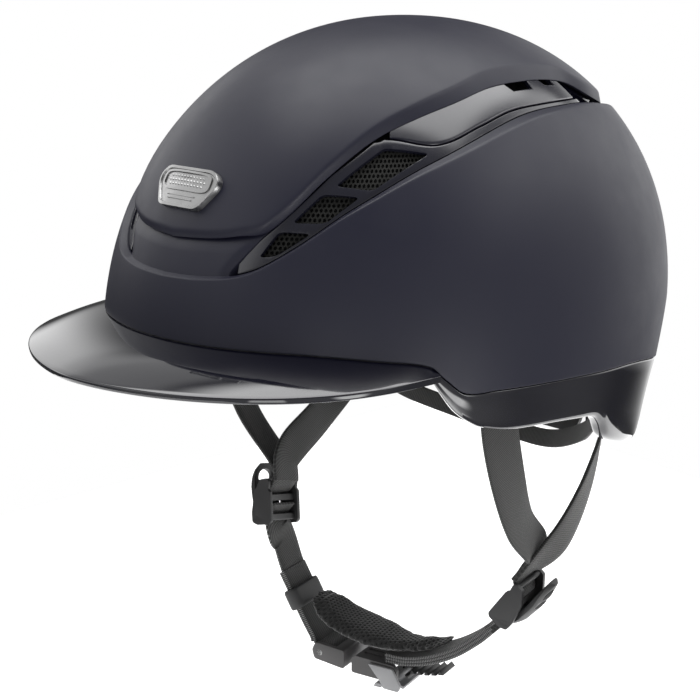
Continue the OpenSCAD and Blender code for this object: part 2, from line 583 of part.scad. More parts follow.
// ---------- ratchet buckle ----------
// The toothed tongue slides along the loop through the housing; a sprung lever holds it
tongue_z = -170.5;
bar_z = tongue_z + 2;
lever_s = 10.4;
lever_z = tongue_z - 5;
tongue_travel = 2.5;
module buckle_tongue() {
    color(black) loop_frame() {
        translate([-18, -6.5, tongue_z - 1]) cube([55, 13, 2]);
        difference() {
            translate([-34, -12, tongue_z - 2]) cube([18.5, 24, 7]);
            translate([-36, -9.9, tongue_z - 4]) cube([15.6, 19.8, 12]);
            translate([-29, 15, bar_z]) rotate([90, 0, 0]) cylinder(h = 30, r = 1.55, $fn = 40);
        }
        across(13) for (i = [0:11]) translate([9.6 + i * 2.3, tongue_z - 1])
            polygon([[-1, 0.4], [1.3, 0.4], [1.3, -1.5]]);
    }
}
module tongue_bar() {
    color("silver") loop_frame() translate([-29, 12, bar_z]) rotate([90, 0, 0]) cylinder(h = 24, r = 1.5, $fn = 40);
}
module buckle_housing() {
    color(black) loop_frame() difference() {
        union() {
            translate([-11.5, -10.5, tongue_z - 4.4]) cube([18.6, 21, 9]);
            for (y = [-1, 1]) translate([7, y * 9.4 - 1.1, tongue_z - 7]) cube([6.6, 2.2, 11.6]);
        }
        translate([-13, -6.9, tongue_z - 2.9]) cube([22, 13.8, 4.3]);
        translate([-2, -8.1, tongue_z - 6]) cube([12, 16.2, 5]);
        translate([lever_s, 15, lever_z]) rotate([90, 0, 0]) cylinder(h = 30, r = 1.2, $fn = 40);
    }
}
// Lever: a flat finger plate under the housing, turning on a pin below the teeth
module buckle_lever() {
    color([0.5, 0.5, 0.52]) loop_frame() difference() {
        union() {
            translate([-2, -6.5, lever_z - 2.4]) cube([15.6, 13, 2]);
            translate([0, -12.8, lever_z - 2.4]) cube([6.2, 25.6, 2]);
            for (y = [-11.9, 11.9]) translate([0, y, 0]) across(1.8)
                polygon([[-1.5, -167.2], [11.5, -167.1], [15.5, -174.9], [6, -177.9], [0, -177.9]]);
            translate([lever_s, 6.5, lever_z]) rotate([90, 0, 0]) cylinder(h = 13, r = 2.1, $fn = 40);
        }
        translate([lever_s, 15, lever_z]) rotate([90, 0, 0]) cylinder(h = 30, r = 1.2, $fn = 40);
    }
}
module buckle_pin() {
    color("silver") loop_frame() translate([lever_s, 10.4, lever_z]) rotate([90, 0, 0])
        cylinder(h = 20.8, r = 1.15, $fn = 40);
}
// Return spring: a small coil on the pin at each end of the lever's hub
module buckle_spring() {
    color("silver") loop_frame() for (y = [-7.5, 7.5]) translate([lever_s, y + 0.6, lever_z]) rotate([90, 0, 0])
        difference() {
            cylinder(h = 1.2, r = 2, $fn = 40);
            translate([0, 0, -1]) cylinder(h = 4, r = 1.25, $fn = 40);
        }
}

main_shell();
crown_shell();
peak();
rim_trim();
front_badge();
vent_frame_left();
vent_frame_right();
vent_mesh_left();
vent_mesh_right();
side_panel_left();
side_panel_right();
rear_vent_grille();
impact_liner();
brow_pad();
crown_pad();
side_pad_left();
side_pad_right();
nape_cradle();
cradle_cover();
cradle_hangers();
nape_pad();
adjuster_dial();
dial_screw();
band_left();
band_right();
strap_anchors();
strap_front_left();
strap_rear_left();
strap_front_right();
strap_rear_right();
nape_strap();
divider_left();
divider_right();
divider_lever_left();
divider_lever_right();
divider_pin_left();
divider_pin_right();
chin_strap_left();
chin_strap_right();
strap_keeper();
chin_pad();
buckle_housing();
buckle_lever();
buckle_pin();
buckle_spring();
buckle_tongue();
tongue_bar();
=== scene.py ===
"""Looks of the riding helmet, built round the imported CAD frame.

Lengths in the shape functions are in millimetres, in the CAD's frame: +Z up, -Y forward, +X left.
A place on the shell is an angle t round from the front in degrees, a height z and a depth d.
"""
import math
import bpy
import bmesh
import numpy as np
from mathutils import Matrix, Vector


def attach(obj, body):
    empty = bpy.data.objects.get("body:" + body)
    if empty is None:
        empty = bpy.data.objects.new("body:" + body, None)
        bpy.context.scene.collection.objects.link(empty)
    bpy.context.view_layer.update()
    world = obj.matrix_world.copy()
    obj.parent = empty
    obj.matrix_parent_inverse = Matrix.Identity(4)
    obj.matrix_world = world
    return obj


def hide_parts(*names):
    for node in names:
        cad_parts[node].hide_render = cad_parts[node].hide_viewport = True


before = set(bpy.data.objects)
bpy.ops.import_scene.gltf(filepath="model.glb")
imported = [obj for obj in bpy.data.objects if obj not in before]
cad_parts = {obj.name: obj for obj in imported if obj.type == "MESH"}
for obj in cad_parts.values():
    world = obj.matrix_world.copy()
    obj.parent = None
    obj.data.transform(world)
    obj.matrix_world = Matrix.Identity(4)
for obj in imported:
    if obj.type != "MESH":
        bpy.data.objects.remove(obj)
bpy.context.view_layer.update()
MM = 0.001

# ---------------------------------------------------------------- camera
AZIMUTH, ELEVATION, DISTANCE = math.radians(46.2), math.radians(14.3), 0.7
back = Vector((math.sin(AZIMUTH) * math.cos(ELEVATION), -math.cos(AZIMUTH) * math.cos(ELEVATION),
               math.sin(ELEVATION)))
right = Vector((math.cos(AZIMUTH), math.sin(AZIMUTH), 0))
up = back.cross(right)
camera = bpy.data.objects.new("camera", bpy.data.cameras.new("camera"))
bpy.context.collection.objects.link(camera)
camera.location = back * DISTANCE - right * 0.0225 - up * 0.0154
camera.rotation_euler = (math.pi / 2 - ELEVATION, 0, AZIMUTH)
camera.data.lens = 77.76
camera.data.clip_start = 0.02
bpy.context.scene.camera = camera

# ---------------------------------------------------------------- shell shape
FRONT, REAR, HALF_W, CROWN = 141.5, 133.0, 109.5, 136.5
N_UP, N_PLAN, FLANK_H, FLANK_IN = 2.1, 2.2, 75.0, 0.1
SHELL_T, CHANNEL, BELT = 2.4, 6.8, 2.0
HEX_ROW, HEX_CORNER = 0.866, 0.5774  # row spacing and corner radius of a hexagonal lattice, per pitch

MATTE_LOW = [(0, 15), (28, 14.8), (42, 11.7), (50, 8.5), (53, 3), (57, -3.5), (64, -4.2), (81, -5.5),
             (95, -7), (113, -9.5), (137, -18), (160, -22), (180, -23)]
LOWER_CREASE = [(0, 38.7), (10, 39.8), (18, 43.2), (25, 51.9), (35, 66.3), (51, 81), (81, 95.2),
                (113, 99.8), (137, 97.5), (160, 91), (180, 88)]
CREASE_RISE = [(0, 1.6), (18, 1.6), (30, 2), (50, 3), (81, 3.6), (120, 2.5), (180, 2.5)]
CROWN_EDGE = [(0, 56.2), (10, 57.7), (15, 59.5), (19.5, 61.5), (23, 68), (29.5, 83), (38, 96.5), (49, 105),
              (63, 111), (78, 115.5), (96, 117), (113, 116.6), (125, 114), (135, 106.5), (150, 101), (180,
                      98)]
EDGE_DROP = [(0, 2.2), (19, 2.2), (30, 2.5), (58, 4), (113, 4), (180, 3)]
EDGE_DEPTH = [(0, 1.7), (14, 1.7), (20, 3), (180, 3)]
FRAME_TOP = [(14.8, 45.2), (17, 52), (19, 57.5), (23.5, 67.4), (30, 81.7), (38, 93.4), (41.8, 94.3),
             (54, 91.4), (68, 97.2), (82, 102), (100, 103.8), (121, 104.2)]
TRIM_LOW = [(50, 4), (52, -3), (55, -11.5), (59.5, -18.5), (62, -20.5), (67.5, -23), (82, -25), (90, -26.5),
            (97, -28.5), (101, -33.5), (105, -41), (112, -47), (122, -52.5), (137, -57), (155, -58), (180,
                    -56)]
TRIM_LIP = [(50, 13), (57, 13), (66, 11), (90, 8), (105, 9), (125, 9), (150, 6), (180, 5)]


def fold(t):
    t = np.mod(np.asarray(t, float), 360)
    return np.where(t > 180, 360 - t, t)


def along(points, t):
    p = np.array(points, float)
    return np.interp(fold(t), p[:, 0], p[:, 1])


def curve(points, t):
    """Smooth curve through (angle, value) points, the same on both sides."""
    p = np.array(points, float)
    x, y = p[:, 0], p[:, 1]
    m = np.empty(len(x))
    m[1:-1] = (y[2:] - y[:-2]) / (x[2:] - x[:-2])
    m[0] = (y[1] - y[0]) / (x[1] - x[0])
    m[-1] = (y[-1] - y[-2]) / (x[-1] - x[-2])
    t = fold(t)
    i = np.clip(np.searchsorted(x, t, side="right") - 1, 0, len(x) - 2)
    h = x[i + 1] - x[i]
    u = (t - x[i]) / h
    return (y[i] * (2 * u**3 - 3 * u**2 + 1) + m[i] * h * (u**3 - 2 * u**2 + u)
            + y[i + 1] * (3 * u**2 - 2 * u**3) + m[i + 1] * h * (u**3 - u**2))


def waist(t):
    c = np.cos(np.radians(t))
    return -13.5 * c + 5.5 * c * c


def plan_r(t, d):
    c, s = np.cos(np.radians(t)), np.sin(np.radians(t))
    a = np.where(c > 0, FRONT, REAR) - d
    return ((np.abs(c) / a) ** N_PLAN + (np.abs(s) / (HALF_W - d)) ** N_PLAN) ** (-1 / N_PLAN)


def rise(t, z):
    w = waist(t)
    return np.clip((z - w) / (CROWN - w), 0, 1) ** (N_UP / 2)


def skin(t, z, d):
    t, z, d = np.broadcast_arrays(np.asarray(t, float), np.asarray(z, float), np.asarray(d, float))
    w, s = waist(t), rise(t, z)
    low = np.maximum(0, w - z) / FLANK_H
    k = np.where(z > w, np.clip(1 - s * s, 0, 1) ** (1 / N_UP), 1 - FLANK_IN * low**1.3)
    r = plan_r(t, d) * k
    a = np.radians(t)
    return np.stack([r * np.sin(a), -r * np.cos(a), np.where(z > w, z - d * s ** (2 / N_UP), z)], -1)


def dome(t, p, d):
    t, p, d = np.broadcast_arrays(np.asarray(t, float), np.asarray(p, float), np.asarray(d, float))
    w = waist(t)
    r = plan_r(t, d) * np.clip(np.cos(np.radians(p)), 0, 1) ** (2 / N_UP)
    a = np.radians(t)
    return np.stack([r * np.sin(a), -r * np.cos(a),
                     w + (CROWN - d - w) * np.sin(np.radians(p)) ** (2 / N_UP)], -1)


def climb(t, z):
    return np.degrees(np.arcsin(rise(t, z)))


# ---------------------------------------------------------------- mesh builders
def place(name, mesh, material, body="helmet", node=()):
    ob = bpy.data.objects.new(name, mesh)
    bpy.context.collection.objects.link(ob)
    if material:
        mesh.materials.clear()
        mesh.materials.append(material)
    finish_piece(ob, body, node)
    return ob


def finish_piece(ob, body, node=()):
    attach(ob, body)
    if node:
        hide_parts(*([node] if isinstance(node, str) else node))


def new_mesh(name, verts, faces, sharp=35.0, weld=1e-7):
    """Mesh in metres from points in millimetres, normals outward, sharp where the angle is large."""
    me = bpy.data.meshes.new(name)
    me.from_pydata([tuple(v) for v in np.asarray(verts, float) * MM], [], [tuple(f) for f in faces])
    bm = bmesh.new()
    bm.from_mesh(me)
    if weld:
        bmesh.ops.remove_doubles(bm, verts=bm.verts, dist=weld)
    bmesh.ops.recalc_face_normals(bm, faces=bm.faces)
    bm.to_mesh(me)
    bm.free()
    smooth(me, sharp)
    return me


def smooth(me, sharp=35.0):
    me.polygons.foreach_set("use_smooth", [True] * len(me.polygons))
    me.set_sharp_from_angle(angle=math.radians(sharp))
    me.update()


def loft_faces(n, k, ring, close=True):
    i, j = np.meshgrid(np.arange(n if ring else n - 1), np.arange(k if close else k - 1), indexing="ij")
    i, j = i.ravel(), j.ravel()
    a, b = i * k + j, i * k + (j + 1) % k
    m = ((i + 1) % n) * k
    return np.stack([a, b, m + (j + 1) % k, m + j], 1).tolist()


def loft(name, loops, ring=False, sharp=35.0):
    """Solid through loops, an array of (stations, points, 3)."""
    n, k = loops.shape[:2]
    faces = loft_faces(n, k, ring)
    if not ring:
        faces += [list(range(k))[::-1], list(range((n - 1) * k, n * k))]
    return new_mesh(name, loops.reshape(-1, 3), faces, sharp)


def capped(name, rows, first_z, last_z, sharp=35.0):
    """Bowl whose section is rows, an array of (columns, points, 3), closed on the axis at both ends."""
    n, k = rows.shape[:2]
    faces = loft_faces(n, k, True, close=False)
    for i in range(n):
        j = (i + 1) % n
        faces.append([i * k, j * k, n * k])
        faces.append([i * k + k - 1, j * k + k - 1, n * k + 1])
    return new_mesh(name, rows.reshape(-1, 3).tolist() + [[0, 0, first_z], [0, 0, last_z]], faces, sharp)


def rounded(corners, steps=4, closed=True):
    """Section loops from (points, radius) corners; each radius is a length in millimetres."""
    pts = [np.asarray(c[0], float) for c in corners]
    n = len(pts)
    out = []
    for i, (p, (_, r)) in enumerate(zip(pts, corners)):
        if r <= 0 or (not closed and i in (0, n - 1)):
            out.append(p)
            continue
        q, s = pts[i - 1] - p, pts[(i + 1) % n] - p
        lq = np.linalg.norm(q, axis=-1, keepdims=True)
        ls = np.linalg.norm(s, axis=-1, keepdims=True)
        a = p + q / np.maximum(lq, 1e-9) * np.minimum(r, 0.45 * lq)
        b = p + s / np.maximum(ls, 1e-9) * np.minimum(r, 0.45 * ls)
        for u in np.linspace(0, 1, steps + 1):
            out.append(a * (1 - u) ** 2 + p * 2 * u * (1 - u) + b * u * u)
    return np.stack(out, -2)


def apply_modifiers(ob, sharp=35.0):
    ev = ob.evaluated_get(bpy.context.evaluated_depsgraph_get())
    me = bpy.data.meshes.new_from_object(ev)
    ob.modifiers.clear()
    old, ob.data = ob.data, me
    bpy.data.meshes.remove(old)
    smooth(me, sharp)


def temp(name, mesh):
    ob = bpy.data.objects.new(name, mesh)
    bpy.context.collection.objects.link(ob)
    return ob


def cut(ob, cutters, how="DIFFERENCE"):
    for c in cutters:
        m = ob.modifiers.new("cut", "BOOLEAN")
        m.operation, m.object, m.solver = how, c, "EXACT"
    bpy.context.view_layer.update()
    apply_modifiers(ob)
    for c in cutters:
        bpy.data.objects.remove(c)


def bevel(ob, width, segments=2, angle=30.0, sharp=40.0):
    m = ob.modifiers.new("bevel", "BEVEL")
    m.width, m.segments, m.limit_method, m.angle_limit = width * MM, segments, "ANGLE", math.radians(angle)
    m.use_clamp_overlap = True
    m.harden_normals = False
    bpy.context.view_layer.update()
    apply_modifiers(ob, sharp)


def mirrored(me, name):
    out = me.copy()
    out.name = name
    bm = bmesh.new()
    bm.from_mesh(out)
    for v in bm.verts:
        v.co.x = -v.co.x
    bmesh.ops.reverse_faces(bm, faces=bm.faces)
    bm.to_mesh(out)
    bm.free()
    smooth(out)
    return out


# ---------------------------------------------------------------- materials
class Nodes:
    """Short way to build a node tree."""

    def __init__(self, name):
        self.mat = bpy.data.materials.new(name)
        self.mat.use_nodes = True
        self.tree = self.mat.node_tree
        self.bsdf = self.tree.nodes["Principled BSDF"]

    def add(self, kind, **values):
        node = self.tree.nodes.new("ShaderNode" + kind)
        for key, value in values.items():
            if hasattr(node, key):
                setattr(node, key, value)
            else:
                node.inputs[key.replace("_", " ")].default_value = value
        return node

    def link(self, a, b):
        self.tree.links.new(a, b)

    def set(self, **values):
        for key, value in values.items():
            self.bsdf.inputs[key.replace("_", " ")].default_value = value

    def object_coord(self, scale=1.0):
        c = self.add("TexCoord")
        if scale == 1.0:
            return c.outputs["Object"]
        m = self.add("Mapping")
        m.inputs["Scale"].default_value = (scale,) * 3 if np.isscalar(scale) else scale
        self.link(c.outputs["Object"], m.inputs["Vector"])
        return m.outputs["Vector"]

    def noise(self, scale, detail=3.0, roughness=0.5, vector=None):
        n = self.add("TexNoise")
        n.inputs["Scale"].default_value = scale
        n.inputs["Detail"].default_value = detail
        n.inputs["Roughness"].default_value = roughness
        self.link(vector or self.object_coord(), n.inputs["Vector"])
        return n.outputs["Fac"]

    def ramp(self, value, stops):
        r = self.add("ValToRGB")
        while len(r.color_ramp.elements) < len(stops):
            r.color_ramp.elements.new(0.5)
        for e, (at, colour) in zip(r.color_ramp.elements, stops):
            e.position = at
            e.color = (*colour, 1) if not np.isscalar(colour) else (colour, colour, colour, 1)
        self.link(value, r.inputs["Fac"])
        return r.outputs["Color"]

    def math(self, how, a, b=0.0):
        n = self.add("Math", operation=how)
        for i, v in enumerate((a, b)):
            if isinstance(v, (int, float)):
                n.inputs[i].default_value = v
            else:
                self.link(v, n.inputs[i])
        return n.outputs["Value"]

    def bump(self, height, strength=0.2, distance=0.001):
        b = self.add("Bump")
        b.inputs["Strength"].default_value = strength
        b.inputs["Distance"].default_value = distance
        self.link(height, b.inputs["Height"])
        return b.outputs["Normal"]

    def grey(self, colour):
        c = self.add("RGBToBW")
        self.link(colour, c.inputs["Color"])
        return c.outputs["Val"]

    def colour(self, socket):
        self.link(socket, self.bsdf.inputs["Base Color"])

    def roughness(self, socket):
        self.link(socket, self.bsdf.inputs["Roughness"])

    def normal(self, socket):
        self.link(socket, self.bsdf.inputs["Normal"])


def plastic(name, base, rough, vary=0.12, grain=1400.0, grain_depth=0.03, coat=0.0, coat_rough=0.1, spec=0.5):
    """Moulded or painted plastic: faint colour and gloss variation over a fine grain."""
    n = Nodes(name)
    large = n.noise(9.0, 4.0)
    base = np.array(base)
    n.colour(n.ramp(large, [(0.3, base * (1 - vary)), (0.7, base * (1 + vary))]))
    wear = n.noise(60.0, 5.0, 0.6)
    n.roughness(n.ramp(wear, [(0.25, max(rough - 0.05, 0.02)), (0.75, rough + 0.05)]))
    if grain_depth:
        n.normal(n.bump(n.noise(grain, 2.0), grain_depth, 0.0002))
    n.set(Specular_IOR_Level=spec, Coat_Weight=coat, Coat_Roughness=coat_rough)
    return n.mat


SHELL_MAT = plastic("matte_navy", (0.0135, 0.0138, 0.030), 0.46, 0.06, 2600, 0.05, 0.08, 0.30, 0.42)
INSERT_MAT = plastic("insert_navy", (0.010, 0.0102, 0.020), 0.20, 0.06, 2600, 0.02, 0.8, 0.14)
GLOSS_MAT = plastic("gloss_navy", (0.0045, 0.0045, 0.0105), 0.06, 0.1, 900, 0.0, 1.0, 0.02)

# ---------------------------------------------------------------- shells
fine = np.concatenate([np.arange(0, 10, 2.0), np.arange(10, 24, 0.5), np.arange(24, 48, 1.5),
                       np.arange(48, 62, 0.7), np.arange(62, 180, 2.2)])
columns = np.concatenate([fine, [180.0], 360 - fine[:0:-1]])


def lean(t, z):
    """Slants the columns near the front corners, so that they follow the end of the vent channel."""
    f = fold(t)
    w = np.interp(f, [8, 12, 16, 27], [0, 1, 1, 0])
    side = np.where(np.mod(t, 360) > 180, -1.0, 1.0)
    return t + side * w * 0.3435 * (z - 43.8)


def belt_depth(t):
    """Depth of the recess above the lower crease, at base angle t before the lean."""
    f = fold(t)
    return np.interp(f, [0, 12.3, 14.3, 14.8, 180], [BELT, BELT, 3.2, CHANNEL, CHANNEL])


def lower_shell():
    t = columns
    low, c = curve(MATTE_LOW, t), curve(LOWER_CREASE, t)
    foot, e = c + curve(CREASE_RISE, t), curve(CROWN_EDGE, t)
    front = fold(t) < 14.6
    top = np.where(front, e + 8, foot + 4)
    corners = [(skin(t, top, np.where(front, 3.8, CHANNEL)), 0.2)]
    rows = [0.9, 0.78, 0.64, 0.5, 0.36, 0.22, 0.08]
    for k in rows:
        z = foot + (top - foot) * k
        depth = np.where(z > e - 1.5, np.maximum(belt_depth(t), 3.8), belt_depth(t))
        corners.append((skin(lean(t, z), z, np.where(front | (fold(t) < 20), depth, CHANNEL)), 0))
    depth = belt_depth(t)
    corners.append((skin(t, foot + 0.12, depth), 0.25))
    corners.append((skin(t, foot, np.minimum(depth, 2.8)), 0.35))
    corners.append((skin(t, c, 0), 1.1))
    for k in np.linspace(0, 1, 40)[1:-1]:
        corners.append((skin(t, c + (low - c) * k, 0), 0))
    corners += [(skin(t, low, 0), 0.45), (skin(t, low, SHELL_T), 0.4)]
    for k in np.linspace(0, 1, 12)[1:-1]:
        corners.append((skin(t, low + (c - low) * k, SHELL_T), 0))
    corners.append((skin(t, c, SHELL_T), 0))
    corners.append((skin(t, foot, np.maximum(depth, 2.8) + 2.0), 0.2))
    corners.append((skin(t, top, np.where(front, 3.8, CHANNEL) + 2.0), 0.2))
    return loft("lower_shell", rounded(corners), ring=True)


place("lower_shell", lower_shell(), SHELL_MAT, node="main_shell")


def crown_shell():
    t = columns
    e = curve(CROWN_EDGE, t)
    p0 = climb(t, e)
    foot = e - curve(EDGE_DROP, t)
    depth = along(EDGE_DEPTH, t)
    rows = 34
    outer = [dome(t, p0 + (90 - p0) * i / rows, 0) for i in range(rows)]
    corners = [(skin(t, e + 2.5, SHELL_T), 0), (skin(t, foot + 0.8, depth + 0.9), 0),
               (skin(t, foot, depth), 0.4),
               (outer[0], 1.6)] + [(o, 0) for o in outer[1:]]
    out = rounded(corners, closed=False)
    pi = climb(t, e + 2.5)
    inner = np.stack([dome(t, pi + (90 - pi) * i / 12, SHELL_T) for i in range(1, 12)], -2)
    return capped("crown", np.concatenate([inner[:, ::-1], out], 1), CROWN - SHELL_T, CROWN)


place("crown", crown_shell(), SHELL_MAT, node="crown_shell")

# ---------------------------------------------------------------- peak
PEAK_A, PEAK_B, PEAK_Z, PEAK_T = 98.5, 103.0, 5.5, 2.6


def peak():
    a = np.concatenate([np.linspace(-90, -80, 12), np.linspace(-79, 79, 80), np.linspace(80, 90, 12)])
    s, c = np.sin(np.radians(a)), np.cos(np.radians(a))
    out = np.stack([PEAK_A * np.sign(s) * np.abs(s) ** 1.18, -77.5 - PEAK_B * np.abs(c) ** 0.77,
                    np.full_like(a, PEAK_Z)], -1)
    t = a * 51.5 / 90
    inn = skin(t, curve(MATTE_LOW, np.abs(t)) - 0.3, 0.8)
    k = np.linspace(0, 1, 16)
    hump = (np.sin(np.pi * k)[None] * (0.1 + 1.2 * c)[:, None])
    top = inn[:, None] * (1 - k)[None, :, None] + out[:, None] * k[None, :, None]
    top[..., 2] += hump
    kb = k * 0.985
    low = inn[:, None] * (1 - kb)[None, :, None] + out[:, None] * kb[None, :, None]
    low[..., 2] += hump - PEAK_T
    corners = [(top[:, i], 0) for i in range(15)] + [(top[:, 15], 0.9), (low[:, 15], 0.9)]
    corners += [(low[:, i], 0) for i in range(14, -1, -1)]
    return loft("visor", rounded(corners))


place("visor", peak(), GLOSS_MAT, node="peak")


# ---------------------------------------------------------------- rim
def rim():
    t = np.concatenate([np.linspace(50.6, 62, 28), np.linspace(62.8, 96, 24), np.linspace(97, 126, 44),
                        np.linspace(128, 180, 24)])
    t = np.concatenate([t, 360 - t[-2::-1]])
    m, z, lip = curve(MATTE_LOW, t), curve(TRIM_LOW, t), curve(TRIM_LIP, t)
    h = np.maximum(4, m - z)
    corners = [(skin(t, m + 5, 2.9), 0.3), (skin(t, m - 0.35, 2.9), 0.2), (skin(t, m - 0.45, 0.35), 0.8)]
    for k in (0.15, 0.3, 0.45, 0.6, 0.74):
        corners.append((skin(t, m - h * k, 0.4 + 0.7 * math.sin(math.pi * k)), 0))
    corners += [(skin(t, z, 0.9), 7.0), (skin(t, z, lip - 1.0), 3.0), (skin(t, z + 3.6, lip), 1.2),
                (skin(t, z + 4.2, 4.6), 0.6)]
    for k in (0.6, 0.3):
        corners.append((skin(t, m - h * k, 4.4), 0))
    corners.append((skin(t, m + 5, 4.8), 0.3))
    return loft("rim", rounded(corners))


place("rim", rim(), GLOSS_MAT, node="rim_trim")

# ---------------------------------------------------------------- vent inserts
FRAME_D, FRAME_T = 3.4, 1.8
WINDOWS = [[[40.5, 91.3], [51.5, 88.7], [38.6, 75.7], [31, 77.6]],
           [[28.8, 74.6], [36.3, 73.5], [30.2, 63.8], [24, 63.8]],
           [[21.9, 60.5], [28, 60.1], [22.4, 51.5], [19, 50.4]]]


def frame_lo(t):
    return curve(LOWER_CREASE, t) + curve(CREASE_RISE, t) + 0.5


def patch(name, t, top, bottom, d, thick, rows=8, edge=0.5, steps=3):
    """Shell-shaped plate between two outlines, with rounded long edges."""
    corners = [(skin(t, top, d), edge)]
    for k in np.linspace(0, 1, rows + 1)[1:-1]:
        corners.append((skin(t, top + (bottom - top) * k, d), 0))
    corners += [(skin(t, bottom, d), edge), (skin(t, bottom, d + thick), 0.2)]
    for k in np.linspace(1, 0, 5)[1:-1]:
        corners.append((skin(t, top + (bottom - top) * k, d + thick), 0))
    corners.append((skin(t, top, d + thick), 0.2))
    return loft(name, rounded(corners, steps))


def prism(name, near, far):
    """Solid between two polygons with the same number of corners."""
    return loft(name, np.stack([near, far]), sharp=30)


def soften(points, r, steps=5):
    return rounded([(np.array(p, float), r) for p in points], steps)


def vent_frame():
    t = np.concatenate([np.linspace(15.6, 60, 76), np.linspace(61, 121.4, 50)])
    top, low = np.interp(t, *np.array(FRAME_TOP).T), frame_lo(t)
    top = np.where(t > 40, curve_open(FRAME_TOP, t), top)
    ob = temp("vent_frame", patch("vent_frame", t, np.maximum(top, low + 0.7), low, FRAME_D, FRAME_T, 10,
                                  0.7))
    ob.data.materials.append(INSERT_MAT)
    cutters = []
    for w in WINDOWS:
        outline = soften([(p[0], p[1], 0) for p in w], 1.5)
        near, far = skin(outline[:, 0], outline[:, 1], 1.0), skin(outline[:, 0], outline[:, 1], 9.0)
        cutters.append(temp("window", prism("window", near, far)))
    cut(ob, cutters)
    bevel(ob, 0.45, 2, 40)
    return ob


def curve_open(points, t):
    """Same smooth curve, for a line on one side only."""
    return curve(points, np.clip(t, points[0][0], points[-1][0]))


left = vent_frame()
finish_piece(left, "helmet", "vent_frame_left")
place("vent_frame_far", mirrored(left.data, "vent_frame_far"), None, node="vent_frame_right")


def net_material():
    n = Nodes("vent_net")
    n.colour(n.ramp(n.noise(300.0), [(0.3, (0.006, 0.006, 0.005)), (0.7, (0.012, 0.012, 0.010))]))
    n.normal(n.bump(n.noise(5200.0, 1.0), 0.3, 0.0002))
    n.set(Roughness=0.7)
    return n.mat


NET_MAT = net_material()


def vent_net():
    """Net of round-ish cells behind the windows: a hexagonal lattice laid on the shell's shape."""
    pitch, hole = 2.1, 0.66
    verts, faces = [], []
    t0, t1 = 17.5, 52.5
    rows = int((96 - 44) / (pitch * HEX_ROW)) + 1
    deg = pitch / 2.25
    thick = 0.5
    for r in range(rows):
        z = 44 + r * pitch * HEX_ROW
        for c in range(int((t1 - t0) / deg) + 1):
            t = t0 + (c + 0.5 * (r % 2)) * deg
            if not frame_lo(t) + 2.6 < z < np.interp(t, *np.array(FRAME_TOP).T) - 0.8:
                continue
            if t > 52:
                continue
            base = len(verts)
            a = np.radians(30 + 60 * np.arange(6))
            out = [(t + math.cos(x) * deg * HEX_CORNER, z + math.sin(x) * pitch * HEX_CORNER) for x in a]
            inn = [(t + math.cos(x) * deg * HEX_CORNER * hole,
                    z + math.sin(x) * pitch * HEX_CORNER * hole) for x in a]
            verts += [(p[0], p[1], 0.0) for p in out] + [(p[0], p[1], 0.0) for p in inn]
            verts += [(p[0], p[1], thick) for p in out] + [(p[0], p[1], thick) for p in inn]
            for i in range(6):
                j = (i + 1) % 6
                faces.append((base + i, base + j, base + 6 + j, base + 6 + i))
                faces.append((base + 12 + j, base + 12 + i, base + 18 + i, base + 18 + j))
                faces.append((base + 6 + i, base + 6 + j, base + 18 + j, base + 18 + i))
    v = np.array(verts)
    pts = skin(v[:, 0], v[:, 1], FRAME_D + FRAME_T + 0.5 + v[:, 2])
    return new_mesh("vent_net", pts, faces, sharp=50, weld=0.00004)


net = place("vent_net", vent_net(), NET_MAT, node="vent_mesh_left")
place("vent_net_far", mirrored(net.data, "vent_net_far"), None, node="vent_mesh_right")


def side_panel():
    t = np.unique(np.concatenate([np.linspace(41.8, 86, 60), np.linspace(86, 119.4, 84)]))
    e = curve(CROWN_EDGE, t)
    low = curve_open(FRAME_TOP, t) + 0.55
    notch = np.maximum(0, np.minimum(1, np.minimum((t - 86.5) / 3.2, (101.5 - t) / 1.0)))
    notch2 = np.maximum(0, np.minimum(1, np.minimum((t - 107.5) / 1.6, (116.0 - t) / 0.6)))
    top = e - 2.5 - 4.4 * notch - 3.4 * notch2
    top = np.maximum(top, low + 0.5)
    me = patch("side_panel", t, top, low, FRAME_D - 0.15, FRAME_T, 10, 0.55)
    return me


panel = place("side_panel", side_panel(), INSERT_MAT, node="side_panel_left")
place("side_panel_far", mirrored(panel.data, "side_panel_far"), None, node="side_panel_right")


def rear_grille():
    t = np.linspace(122, 238, 150)
    e, low = curve(CROWN_EDGE, t) - 2.2, frame_lo(t)
    corners = [(skin(t, e, 4.6), 0.5), (skin(t, e - (e - low) * 0.35, 6.2), 2.0),
               (skin(t, low + 1.6, 5.2), 1.2),
               (skin(t, low, 3.9), 0.5), (skin(t, low, 6.6), 0.2), (skin(t, low + 2, 8.2),
                       0.2), (skin(t, e, 7.6), 0.2)]
    ob = temp("rear_grille", loft("rear_grille", rounded(corners, 5)))
    ob.data.materials.append(GLOSS_MAT)
    cutters = []
    for a in (139, 147, 155, 163, 171, 180, 189, 197, 205, 213, 221):
        z = float(curve(CROWN_EDGE, a) + frame_lo(a)) / 2 - 1.0
        oval = [(a + 2.5 * math.cos(u), z + 1.5 * math.sin(u)) for u in np.linspace(0, 2 * math.pi, 20,
                endpoint=False)]
        o = np.array(oval)
        cutters.append(temp("slot", prism("slot", skin(o[:, 0], o[:, 1], 1.0), skin(o[:, 0], o[:, 1], 12.0))))
    cut(ob, cutters)
    finish_piece(ob, "helmet", "rear_vent_grille")


rear_grille()

# ---------------------------------------------------------------- badge
BADGE_AT, BADGE_LEAN = np.array([0, -121.3, 71.8]), math.radians(60)


